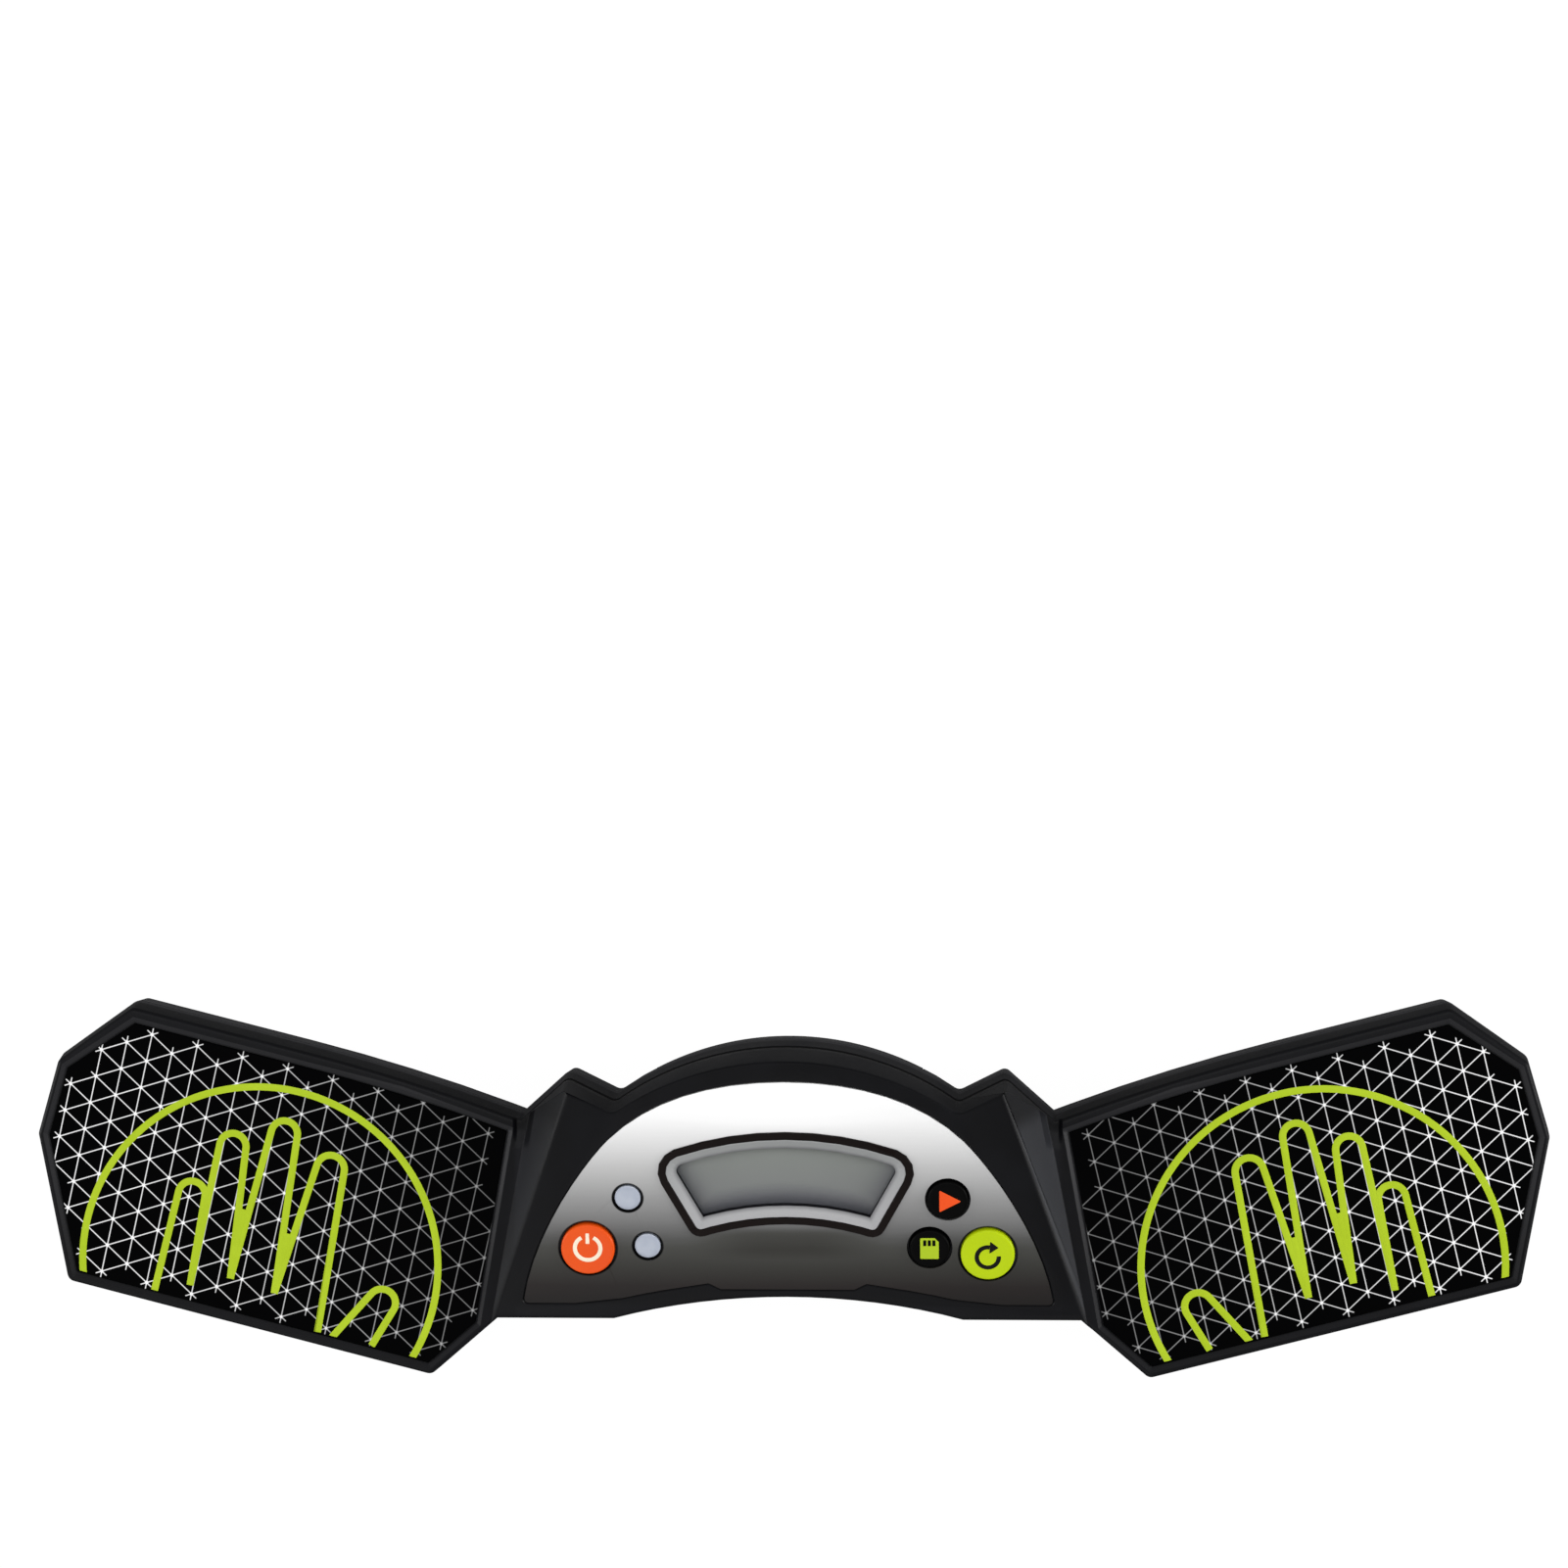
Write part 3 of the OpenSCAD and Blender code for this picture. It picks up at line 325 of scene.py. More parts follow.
# %% Floor
bpy.ops.mesh.primitive_plane_add(size=6.0, location=(0, 0, 0))
floor = named("floor")
floor_finish = Finish("floor_paint", Roughness=0.9, Specular_IOR_Level=0.1)
paper = floor_finish.noise(6.0, 3.0)
floor_finish.set(Base_Color=paper.blend("8a8a8a", "909090"))
tree = floor_finish.material.node_tree
camera_ray = Value(tree, tree.nodes.new("ShaderNodeLightPath").outputs["Is Camera Ray"])
shaded = Value(tree, floor_finish.shader.outputs["BSDF"])
glow = camera_ray.make("ShaderNodeEmission", {"Color": (1, 1, 1, 1), "Strength": 1.21})
mixed = camera_ray.make("ShaderNodeMixShader", {0: camera_ray * 0.8, 1: shaded, 2: glow})
tree.links.new(mixed.socket, tree.nodes["Material Output"].inputs["Surface"])
floor.data.materials.append(floor_finish.material)
print("floor:", floor.name)

# %% World and lamps
world = bpy.data.worlds.new("studio")
bpy.context.scene.world = world
world.use_nodes = True
sky = world.node_tree.nodes["Background"]
light_path = Value(world.node_tree, world.node_tree.nodes.new("ShaderNodeLightPath").outputs[0])
sky.inputs["Color"].default_value = (1, 1, 1, 1)
plain_view = light_path * 0.6 + 0.4
world.node_tree.links.new(plain_view.socket, sky.inputs["Strength"])


def lamp(name, place, size, power):
    """A soft rectangular lamp that aims at the origin."""
    data = bpy.data.lights.new(name, "AREA")
    data.shape = "RECTANGLE"
    data.size, data.size_y = size
    data.energy = power
    made = bpy.data.objects.new(name, data)
    bpy.context.scene.collection.objects.link(made)
    made.location = place
    aim = Vector((0, 0, 0)) - Vector(place)
    made.rotation_euler = aim.to_track_quat("-Z", "Y").to_euler()


lamp("top_softbox", (0.0, 0.5, 1.3), (1.6, 0.7), 8)
lamp("front_fill", (-0.5, -0.9, 1.0), (1.2, 0.8), 5)
lamp("right_strip", (1.4, 0.1, 0.35), (0.5, 0.6), 14)
lamp("left_strip", (-1.4, 0.1, 0.35), (0.5, 0.6), 9)
print("lamps:", len(bpy.data.lights))

# %% [markdown]
# ## Carried-over pieces
# The CAD solids of the board, contacts, cells and screws already have their true shape. They only
# need a surface. Each gets the finish of its real material.

# %% Metals and small finishes
def metal(name, colour, pale, roughness, grain=0.6):
    """Bare metal: a fine grain and faint clouds, both in its tone."""
    finish = Finish(name, Metallic=1.0)
    streak = finish.noise(grain, 3.0)
    cloud = finish.noise(7.0, 2.0)
    finish.set(Base_Color=(streak * 0.6 + cloud * 0.4).blend(colour, pale),
               Roughness=roughness - 0.08 + streak * 0.16)
    return finish.bump(streak, 0.006)


steel = metal("steel", "9a9b9d", "d0d1d3", 0.34)
screw_metal = metal("screw_metal", "8d8e92", "bcbdc1", 0.38, grain=0.4)
copper_metal = metal("copper_metal", "b07042", "d69a68", 0.36)


def coated(name, colour, pale, roughness):
    """A coloured insulating coat, as on wires, boards and cells."""
    finish = Finish(name)
    fleck = finish.noise(0.5, 2.0)
    wide = finish.noise(6.0, 2.0)
    finish.set(Base_Color=(fleck * 0.5 + wide * 0.5).blend(colour, pale),
               Roughness=roughness - 0.05 + fleck * 0.1)
    return finish.bump(fleck, 0.008)


board_coat = coated("board_coat", "0c4a29", "16633a", 0.42)
red_coat = coated("red_coat", "b8140f", "d62a20", 0.45)
black_coat = coated("black_coat", "0c0c0d", "1b1b1c", 0.45)
white_coat = coated("white_coat", "d9d9d4", "ededea", 0.45)
zebra_coat = coated("zebra_coat", "d48a94", "e6a9b0", 0.6)
cell_coat = coated("cell_coat", "23467e", "34609f", 0.3)
resin_coat = coated("resin_coat", "0a0a0b", "17171a", 0.4)

CARRIED = {name: finish for finish, names in (
    (pale_plastic, "lcd_holder"), (zebra_coat, "zebra_strip"), (board_coat, "main_board"),
    (resin_coat, "processor"), (steel, "crystal contact_link contact_positive contact_negative"),
    (copper_metal, "left_touch_plate right_touch_plate"),
    (white_coat, "left_touch_lead right_touch_lead"), (red_coat, "battery_lead_red"),
    (black_coat, "battery_lead_black"), (cell_coat, "battery_front battery_back"),
    (screw_metal, "case_screws board_screws"), (base_plastic, "battery_door bottom_cover"),
    (ivory_plastic, "power_plunger play_plunger memory_plunger reset_plunger"),
    (switch_plastic, "power_switch play_switch memory_switch reset_switch"),
    (rubber, " ".join(name for name in nodes if name.startswith("foot_"))),
) for name in names.split()}


def paint(name, finish):
    """Gives a CAD node a finish, whatever material slots it came with."""
    slots = nodes[name].material_slots
    if not slots:
        nodes[name].data.materials.append(finish.material)
    for slot in slots:
        slot.material = finish.material


for name, finish in CARRIED.items():
    paint(name, finish)
print(len(CARRIED), "CAD nodes painted")

# %% [markdown]
# ## Outlines
# The case is not a box: its outline has hollow arcs, shoulders and pointed wings. Like a pattern
# maker, this part works with outlines: a list of corners, each with its own rounding. The same
# list, moved inwards by some distance, gives the wall's inner face, a rim or a chamfer. So one
# outline makes every level of the shell, and the walls keep their thickness round each corner.

# %% Outline tools
def turned(point, angle):
    return Vector((point.x * math.cos(angle) - point.y * math.sin(angle),
                   point.x * math.sin(angle) + point.y * math.cos(angle)))


def polar(centre, radius, angle):
    return Vector((centre[0] + radius * math.cos(angle), centre[1] + radius * math.sin(angle)))


def corner_arc(before, corner, after, radius, steps):
    """Points that round one corner of an outline."""
    back, on = (before - corner).normalized(), (after - corner).normalized()
    half = math.acos(max(-1.0, min(1.0, back.dot(on)))) / 2
    way = 1 if (corner - before).cross(after - corner) >= 0 else -1
    centre = corner + (back + on).normalized() * radius / math.sin(half)
    start = corner + back * radius / math.tan(half) - centre
    sweep = way * (math.pi - 2 * half)
    return [centre + turned(start, sweep * i / steps) for i in range(steps + 1)]


def outline(corners, inset=0.0, steps=8):
    """Closed outline from corners (x, y, radius), moved inwards by inset. Radius 0 is a point."""
    count = len(corners)
    raw = [Vector(c[:2]) for c in corners]
    moved = []
    for i in range(count):
        a, b, c = raw[i - 1], raw[i], raw[(i + 1) % count]
        n1, n2 = ((q - p).normalized().orthogonal() for p, q in ((a, b), (b, c)))
        moved.append(b + (n1 + n2) * inset / (1 + n1.dot(n2)))
    points = []
    for i in range(count):
        a, b, c = moved[i - 1], moved[i], moved[(i + 1) % count]
        radius = corners[i][2]
        if radius == 0:
            points.append(b)
            continue
        way = 1 if (b - a).cross(c - b) >= 0 else -1
        points += corner_arc(a, b, c, max(0.05, radius - inset * way), steps)
    return points


def rounded(radius, degrees):
    """Steps (inwards, down) round a convex edge, from its wall to its top."""
    return [(radius * (1 - math.cos(t)), radius * (1 - math.sin(t)))
            for t in map(math.radians, degrees)]


def both_halves(half):
    """Adds the mirror image of a right-hand half whose ends lie on the centre line."""
    return half + [(-x, y, r) for x, y, r in half[-2:0:-1]]


def centre_arc(centre_y, radius, end_x, steps):
    """Points of an arc about (0, centre_y), from the middle out to end_x, without the last."""
    xs = [end_x * i / steps for i in range(steps)]
    return [(x, centre_y + math.sqrt(radius ** 2 - x ** 2), 0) for x in xs]


# %% The timer's outlines
FRONT_Y = -24.7
FRONT_ARC_HALF, FRONT_ARC_RISE = 32.7, 4.3
FRONT_ARC_R = (FRONT_ARC_HALF ** 2 + FRONT_ARC_RISE ** 2) / (2 * FRONT_ARC_RISE)
FRONT_ARC_Y = FRONT_Y + FRONT_ARC_RISE - FRONT_ARC_R
BACK_ARC_R = 55.4
BACK_ARC_Y = 28.1 - BACK_ARC_R
TIP_X = 141.9
WING_REAR, WING_FRONT = 35.4, -35.8
ROOT, WAIST = (54.6, FRONT_Y, 0), (50.1, 14.1, 0)
FRONT_CORNER, REAR_CORNER = (67.4, WING_FRONT), (123.0, WING_REAR)
LOWER_TIP, TIP, UPPER_TIP = (TIP_X - 5.1, -17.8), (TIP_X, 10.8), (TIP_X - 4.2, 25.0)
WING_CORNERS = [FRONT_CORNER, LOWER_TIP, TIP, UPPER_TIP, REAR_CORNER]
rear_run = Vector(REAR_CORNER) - Vector(WAIST[:2])
BOW = (*(Vector(WAIST[:2]) + rear_run * 0.3 + rear_run.normalized().orthogonal() * 1.7), 375.0)
VALLEY_X = 32.1
VALLEY_Y = BACK_ARC_Y + math.sqrt(BACK_ARC_R ** 2 - VALLEY_X ** 2)
case_outline = both_halves(
    centre_arc(FRONT_ARC_Y, FRONT_ARC_R, FRONT_ARC_HALF, 8)
    + [(FRONT_ARC_HALF, FRONT_Y, 1.5), ROOT]
    + [(*corner, 2.2) for corner in WING_CORNERS]
    + [BOW, WAIST, (41.0, 22.3, 2.0), (VALLEY_X, VALLEY_Y, 1.0)]
    + centre_arc(BACK_ARC_Y, BACK_ARC_R, VALLEY_X, 12)[::-1])


def on_line(a, b, x):
    return a[1] + (b[1] - a[1]) * (x - a[0]) / (b[0] - a[0])


FIELD_FRONT_X, FIELD_BACK_X = 56.6, 49.6
REAR_LEDGE = 0.8
rear_bow = (BOW[0], BOW[1] - REAR_LEDGE, BOW[2])
field_outline = (
    [(FIELD_FRONT_X, on_line(ROOT, FRONT_CORNER, FIELD_FRONT_X), 2.4), (*FRONT_CORNER, 2.4)]
    + [(*corner, 3.0) for corner in WING_CORNERS[1:4]]
    + [(REAR_CORNER[0], REAR_CORNER[1] - REAR_LEDGE, 3.0)]
    + [rear_bow, (FIELD_BACK_X, on_line(WAIST, BOW, FIELD_BACK_X) - REAR_LEDGE, 2.4)])


def bezier(a, b, c, d, t):
    a, b, c, d = (Vector(p) for p in (a, b, c, d))
    s = 1 - t
    return a * s ** 3 + 3 * b * t * s ** 2 + 3 * c * s * t ** 2 + d * t ** 3


PLATE_CORNER, PLATE_TURN, PLATE_TOP = (49.7, -21.5), (32.9, 11.4), (0.0, 23.0)
PLATE_RISE = (FRONT_Y + FRONT_ARC_RISE) / math.cos(SLOPE) + 4.2
TONGUE = 12.5
plate_outline = both_halves(
    [(0, PLATE_RISE - 1.9, 0), (TONGUE, PLATE_RISE - 1.9, 0.6),
     (TONGUE + 2.3, PLATE_RISE - 0.7, 0.6)]
    + [(x, PLATE_RISE - x * x / (2 * FRONT_ARC_R), 0) for x in (19, 23, 27, 31)]
    + [(40.0, -21.5, 3.0), (*PLATE_CORNER, 0.8)]
    + [(*bezier(PLATE_CORNER, (47.5, -7.0), (36.9, 7.3), PLATE_TURN, i / 16), 0)
       for i in range(1, 16)]
    + [(*bezier(PLATE_TURN, (25.2, 19.2), (13.8, 23.0), PLATE_TOP, i / 12), 0)
       for i in range(12)]
    + [(*PLATE_TOP, 0)])

WINDOW_LOW_R, WINDOW_TOP_R, WINDOW_TOP_Y, WINDOW_LOW_Y = 49.5, 62.0, 13.15, -5.2
WINDOW_HALF_LOW, WINDOW_HALF_TOP = 17.2, 25.7
RING, FRAME = 1.4, 2.0
window_low_c, window_top_c = WINDOW_LOW_Y - WINDOW_LOW_R, WINDOW_TOP_Y - WINDOW_TOP_R
window_outline = both_halves(
    centre_arc(window_low_c, WINDOW_LOW_R, WINDOW_HALF_LOW, 5)
    + [(WINDOW_HALF_LOW, window_low_c + math.sqrt(WINDOW_LOW_R ** 2 - WINDOW_HALF_LOW ** 2), 2.5),
       (WINDOW_HALF_TOP, window_top_c + math.sqrt(WINDOW_TOP_R ** 2 - WINDOW_HALF_TOP ** 2), 4.8)]
    + centre_arc(window_top_c, WINDOW_TOP_R, WINDOW_HALF_TOP, 5)[::-1])
print("case outline:", len(outline(case_outline)), "points")


# %% [markdown]
# ## Building up levels
# The shell, the pads and the buttons are all stacks of outlines. The first is a filled circle
# primitive whose points are moved to the outline. Each next level is an extrusion of the face
# before it, moved to its own outline. That keeps every point under the one below it, so tapers,
# rounded edges and steps stay exact, where a plain extrude would give only straight walls.

# %% Loft
def level(points, z):
    return [mm(p.x, p.y, z) for p in points]


def face_level(points, w):
    return [on_face(p.x, p.y, w) for p in points]


def loft(name, rings):
    """A closed solid through rings that all have the same number of points."""
    select_none()
    bpy.ops.mesh.primitive_circle_add(vertices=len(rings[0]), radius=0.01, fill_type="NGON")
    piece = named(name)
    for vertex, point in zip(piece.data.vertices, rings[0]):
        vertex.co = point
    for before, after in zip(rings, rings[1:]):
        mode("EDIT")
        bpy.ops.mesh.extrude_region_move()
        mode("OBJECT")
        for vertex in [v for v in piece.data.vertices if v.select]:
            nearest = min(range(len(before)), key=lambda i: (before[i] - vertex.co).length_squared)
            vertex.co = after[nearest]
    mode("EDIT")
    bpy.ops.mesh.select_all(action="SELECT")
    bpy.ops.mesh.normals_make_consistent(inside=False)
    mode("OBJECT")
    return piece


def slice_off(piece, point, normal):
    """Cuts away all that lies beyond a plane and closes the cut."""
    hold(piece)
    mode("EDIT")
    bpy.ops.mesh.select_all(action="SELECT")
    bpy.ops.mesh.bisect(plane_co=point, plane_no=normal, use_fill=True, clear_outer=True)
    mode("OBJECT")


def round_edges(piece, chosen, width, segments=3):
    """Bevels the edges for which chosen(a, b) is true, a and b being the edge's ends in mm."""
    hold(piece)
    mode("EDIT")
    bpy.ops.mesh.select_mode(type="EDGE")
    bpy.ops.mesh.select_all(action="DESELECT")
    mode("OBJECT")
    picked = 0
    for edge in piece.data.edges:
        a, b = (piece.data.vertices[i].co / MM for i in edge.vertices)
        edge.select = bool(chosen(a, b))
        picked += edge.select
    mode("EDIT")
    bpy.ops.mesh.bevel(offset=width * MM, segments=segments, affect="EDGES")
    bpy.ops.mesh.select_mode(type="VERT")
    mode("OBJECT")
    return picked


def combine(piece, other, operation="DIFFERENCE"):
    """Cuts or joins with an exact Boolean, and removes the tool."""
    hold(piece)
    step = piece.modifiers.new("step", "BOOLEAN")
    step.operation = operation
    step.solver = "EXACT"
    step.object = other
    bpy.ops.object.modifier_apply(modifier=step.name)
    bpy.data.objects.remove(other)


def smooth(piece, angle=30):
    hold(piece)
    bpy.ops.object.shade_smooth_by_angle(angle=math.radians(angle))
    return piece


# %% [markdown]
# ## The shell's plastic
# The upper shell is one moulding, yet the eye sees several tones on it. Most are painted light:
# the console's top face and the walls get painted shade, a painted shadow line runs round its
# back, and its side facets and the inner rims of the pads' recesses get painted highlights where
# they catch the light. Each tone is a mask, written on the shaded point's place.

# %% Shell plastic
RIM_WIDTH, RIM_SLOPE = 2.5, 1.0
CONSOLE_HALF = 50.5
BACK_FADE, SEAM_FADE = (8.0, 12.0), (8.8, 9.6)
GROOVE_Z, GROOVE_HALF, GROOVE_STEEP = 14.4, 1.3, 0.8
FACET_BACK, FACET_FRONT = Vector((48.9, 12.6)), Vector((55.4, -21.5))
FACET_REACH = 12.0


def field_depth(across, y, run=(0, 0)):
    """How far a point lies inside the wing's field, in mm; across is its distance from x = 0.
    For the middle of a straight run, the depth is that of its outer end."""
    corners = [Vector(c[:2]) for c in field_outline]
    inside = None
    for a, b in zip(corners, corners[1:] + corners[:1]):
        normal = (b - a).normalized().orthogonal()
        half_run = abs(-run[0] * normal.x + run[1] * normal.y) / 2
        away = (across - a.x) * normal.x + (y - a.y) * normal.y - half_run
        inside = away if inside is None else inside.min(away)
    return inside


def on_console(across):
    """1 over the console and 0 over the wings."""
    return 1 - across.smooth(CONSOLE_HALF, CONSOLE_HALF + 1)


def painted_shade_share(finish, across, v, w):
    """Where shade is painted on the plastic: the top face, a shadow line round the back, and the
    walls.
    """
    console = on_console(across)
    back = v.smooth(*BACK_FADE)
    # painted shade on the console's top face
    face = w.smooth(-0.6, -0.2) * (1 - across.smooth(53, 56)) * (v.smooth(-22.5, -21) * 0.35 + 0.25)
    # a painted shadow line round the console's back
    groove = (1 - abs(finish.z - GROOVE_Z).smooth(0.7, 1.5)) * console * back
    # painted shade on the console's wall above that line
    upper_wall_shade = finish.z.smooth(GROOVE_Z - 1, GROOVE_Z) * console * back * 0.35
    # painted shade on the wings above the seam
    wing_wall_shade = (1 - console) * finish.z.smooth(8.6, 9.4) * 0.5
    return face.max(groove * 0.95).max(upper_wall_shade).max(wing_wall_shade)


def facet_painted_highlight(finish, across, v, w):
    """Where a painted highlight lies on a side facet: more on the right one, and more along its
    ridge.
    """
    run = (FACET_FRONT - FACET_BACK).normalized()
    out = (across - FACET_BACK.x) * -run.y + (finish.y - FACET_BACK.y) * run.x
    facet = (finish.z.smooth(WING_TOP + 0.05, WING_TOP + 0.3) * (1 - w.smooth(-0.7, -0.3))
             * (out + FACET_REACH).smooth(0, 0.5) * (1 - v.smooth(12, 16)))
    ridge = facet * w.smooth(-5, -0.6)
    return (facet * (finish.x.smooth(-10, 10) * 0.4 + 0.06) + ridge * 0.1).clamp()


def shell_tone_and_painted_light(finish, tone):
    """Repaints the all-over tone by place: painted shade, painted highlights, a lighter grey low
    down.
    """
    v, w = face_point(finish)
    across = abs(finish.x)
    # the inner rims of the pads' recesses get a painted highlight, stronger towards the back
    rim_edge = RIM_WIDTH - RIM_SLOPE
    rim = (field_depth(across, finish.y).smooth(rim_edge - 0.1, rim_edge + 0.1)
           * (finish.y.smooth(-20, 5) * 0.75 + 0.25))
    # painted shade on the top face, the shadow line and the walls
    tone = painted_shade_share(finish, across, v, w).blend(tone, "020203")
    tone = rim.blend(tone, "252527")
    tone = finish.z.smooth(*SEAM_FADE).blend("2c2c2f", tone)
    # painted highlight on the side facets
    return facet_painted_highlight(finish, across, v, w).blend(tone, "38393d")


def back_groove(finish):
    """The height in mm, 0 or less, of a shallow V round the console's back."""
    behind = finish.y.smooth(*BACK_FADE)
    valley = (abs(finish.z - GROOVE_Z) - GROOVE_HALF).min(0.0)
    return valley * on_console(abs(finish.x)) * behind * GROOVE_STEEP


shell_plastic = moulded("shell_plastic", "0b0b0e", "14151a", roughness=0.46, gloss=0.12,
                        shade=shell_tone_and_painted_light, groove=back_groove)
paint("top_cover", shell_plastic)
print("shell plastic:", len(shell_plastic.material.node_tree.nodes), "shader nodes")

# %% [markdown]
# ## The upper shell
# Two solids make it: a slab as high as the wings, with a rounded rim, and the wedge of the
# console. The wedge is a tall loft of the same outline, sliced by the sloping face and by the two
# leaning side facets, so all its walls run on from the slab's. Its edges are bevelled before the
# two are joined, because a bevel wants clean edges and a Boolean leaves none.

# %% Upper shell, outside
SEAM_TOP, DRAFT = 8.2, 0.6
EDGE_R = 0.8
FACET_LEAN = math.radians(36.6)


def wall_inset(z):
    """The outer wall leans in by DRAFT between the seam and the wings' top."""
    return DRAFT * (z - SEAM_TOP) / (WING_TOP - SEAM_TOP)


def facet_plane(side, depth=0.0):
    """A point on a side facet and its outward normal; depth moves it inwards."""
    run = (FACET_FRONT - FACET_BACK).normalized()
    out = Vector((-run.y, run.x))
    normal = Vector((out.x * math.cos(FACET_LEAN) * side, out.y * math.cos(FACET_LEAN),
                     math.sin(FACET_LEAN)))
    point = mm(FACET_BACK.x * side, FACET_BACK.y, WING_TOP)
    return point - normal * depth * MM, normal


def under_face(piece, depth=0.0):
    """Keeps what lies below the console's face and between its side facets."""
    for side in (-1, 1):
        slice_off(piece, *facet_plane(side, depth))
    slice_off(piece, on_face(0, 0, -depth), Vector((0, -math.sin(SLOPE), math.cos(SLOPE))))


def case_level(z, inset):
    return level(outline(case_outline, inset), z)


rim = [(WING_TOP - down, inwards) for inwards, down in rounded(EDGE_R, (0, 22.5, 45, 67.5, 90))]
shell = loft("upper_shell", [case_level(SEAM_TOP, 0)]
             + [case_level(z, wall_inset(z) + extra) for z, extra in rim])
WEDGE_TOP, CONSOLE_LEAN = WING_TOP + 14.0, 1.15
wedge = loft("wedge", [
    case_level(12.0, wall_inset(12.0) - 0.01), case_level(WING_TOP, DRAFT - 0.01),
    case_level(WEDGE_TOP, DRAFT - 0.01 + CONSOLE_LEAN)])
under_face(wedge)


def on_slope(point):
    """Whether a point in mm lies in the console's sloping plane."""
    return abs((point.z - FACE_Z) * math.cos(SLOPE) - point.y * math.sin(SLOPE)) < 0.002


edges = round_edges(wedge, lambda a, b: on_slope(a) and on_slope(b), 0.7)
print("wedge:", edges, "top edges rounded")
combine(shell, wedge, "UNION")
print("upper shell outside:", len(shell.data.polygons), "faces")

# %% Upper shell, recesses and openings
PAD_FLOOR = 13.2
PLATE_FLOOR, ROOF, WALL = -0.9, 2.0, 2.2
LIP, RABBET_TOP = 1.1, 10.4
CLEAR = 0.15


def field_rings(side, levels):
    """Rings of the right wing's field (side 1) or the left one's (-1), from pairs (z, inset)."""
    rings = []
    for z, inset in levels:
        points = outline(field_outline, inset)
        if side < 0:
            points = [Vector((-p.x, p.y)) for p in reversed(points)]
        rings.append(level(points, z))
    return rings


for side in (1, -1):
    recess = field_rings(side, [(PAD_FLOOR, RIM_WIDTH), (PAD_FLOOR + 0.2, RIM_WIDTH),
                                (WING_TOP + 0.05, RIM_WIDTH - RIM_SLOPE)])
    combine(shell, loft("pad_cutter", recess))
combine(shell, loft("plate_cutter", [
    face_level(outline(plate_outline, inset), w)
    for w, inset in ((PLATE_FLOOR, -CLEAR), (-0.2, -CLEAR), (0.2, -CLEAR - 0.4))]))

# the hollow: the wings' part with its rabbet for the lip, then the console's part
rabbet = WALL - LIP - CLEAR
combine(shell, loft("hollow", [case_level(z, inset) for z, inset in (
    (7.0, rabbet), (RABBET_TOP, rabbet), (RABBET_TOP, WALL), (WING_TOP - ROOF, WALL))]))
hollow = loft("hollow", [case_level(11.0, WALL), case_level(WING_TOP, WALL),
                         case_level(WEDGE_TOP, WALL + CONSOLE_LEAN)])
under_face(hollow, ROOF)
combine(shell, hollow)
combine(shell, loft("window_cutter", [
    face_level(outline(window_outline, RING + FRAME), w) for w in (-5.0, 1.0)]))
print("upper shell hollowed:", len(shell.data.polygons), "faces")

# %% Places on the console
POWER, RESET, PLAY, MEMORY = (-37.2, -10.3), (37.4, -11.1), (30.0, -0.2), (26.6, -9.9)
LAMPS = {"led_upper": (-29.5, -0.1), "led_lower": (-26.0, -9.8)}
BIG, SMALL, LAMP_R = 5.0, 3.75, 2.4


def circle(spot, radius, steps=96):
    return [polar(spot, radius, 2 * math.pi * i / steps) for i in range(steps)]


def turned_part(name, spot, profile):
    """A round part standing on the console's face, from a profile of (radius, w)."""
    return loft(name, [face_level(circle(spot, radius), w) for radius, w in profile])


# %% Holes for buttons and lamps
holes = [(POWER, BIG), (RESET, BIG), (PLAY, SMALL), (MEMORY, SMALL)]
holes += [(spot, LAMP_R) for spot in LAMPS.values()]
for spot, radius in holes:
    combine(shell, turned_part("hole", spot, [(radius + CLEAR, w) for w in (-3.0, 1.0)]))
smooth(shell, 24)
settle(shell, shell_plastic, replaces=["top_cover"])
print("upper shell:", len(holes), "holes,", len(shell.data.polygons), "faces")

# %% Soft edges on CAD nodes that stay
def soften(name, width):
    """Welds a node's loose triangles for show and rounds its sharp edges a little."""
    weld = nodes[name].modifiers.new("weld", "WELD")
    weld.merge_threshold = 0.000005
    soft = nodes[name].modifiers.new("soft_edges", "BEVEL")
    soft.width = width * MM
    soft.segments = 2
    soft.limit_method = "ANGLE"
    soft.angle_limit = math.radians(28)
    soft.harden_normals = True
    soft.use_clamp_overlap = True


# %% [markdown]
# ## The faceplate
# A thin plate of silver-printed metal lies in the console. Its ink runs from white at the rear
# edge, through mid grey, to near black in the two front corners. The plate itself is right in CAD,
# so the gradient is the work: it is written on the face's own coordinates. A painted highlight
# brightens its middle near the rear, and painted shade widens the dark gaps round lamps and keys.

# %% Faceplate finish
PRINT_LOW, PRINT_LENGTH = -22.0, 46.0
BRUSH_SHIFT, HIGHLIGHT_CREST_SHIFT, DIP_SHIFT = 0.8, 3.0, 4.0
DIP_V = -9.0
plate_finish = Finish("plate_print_and_highlight", Metallic=0.2, Specular_IOR_Level=0.25)
v = face_point(plate_finish)[0]
across = abs(plate_finish.x)
brush = plate_finish.noise(0.35, 2.0, (0.06, 1, 1))
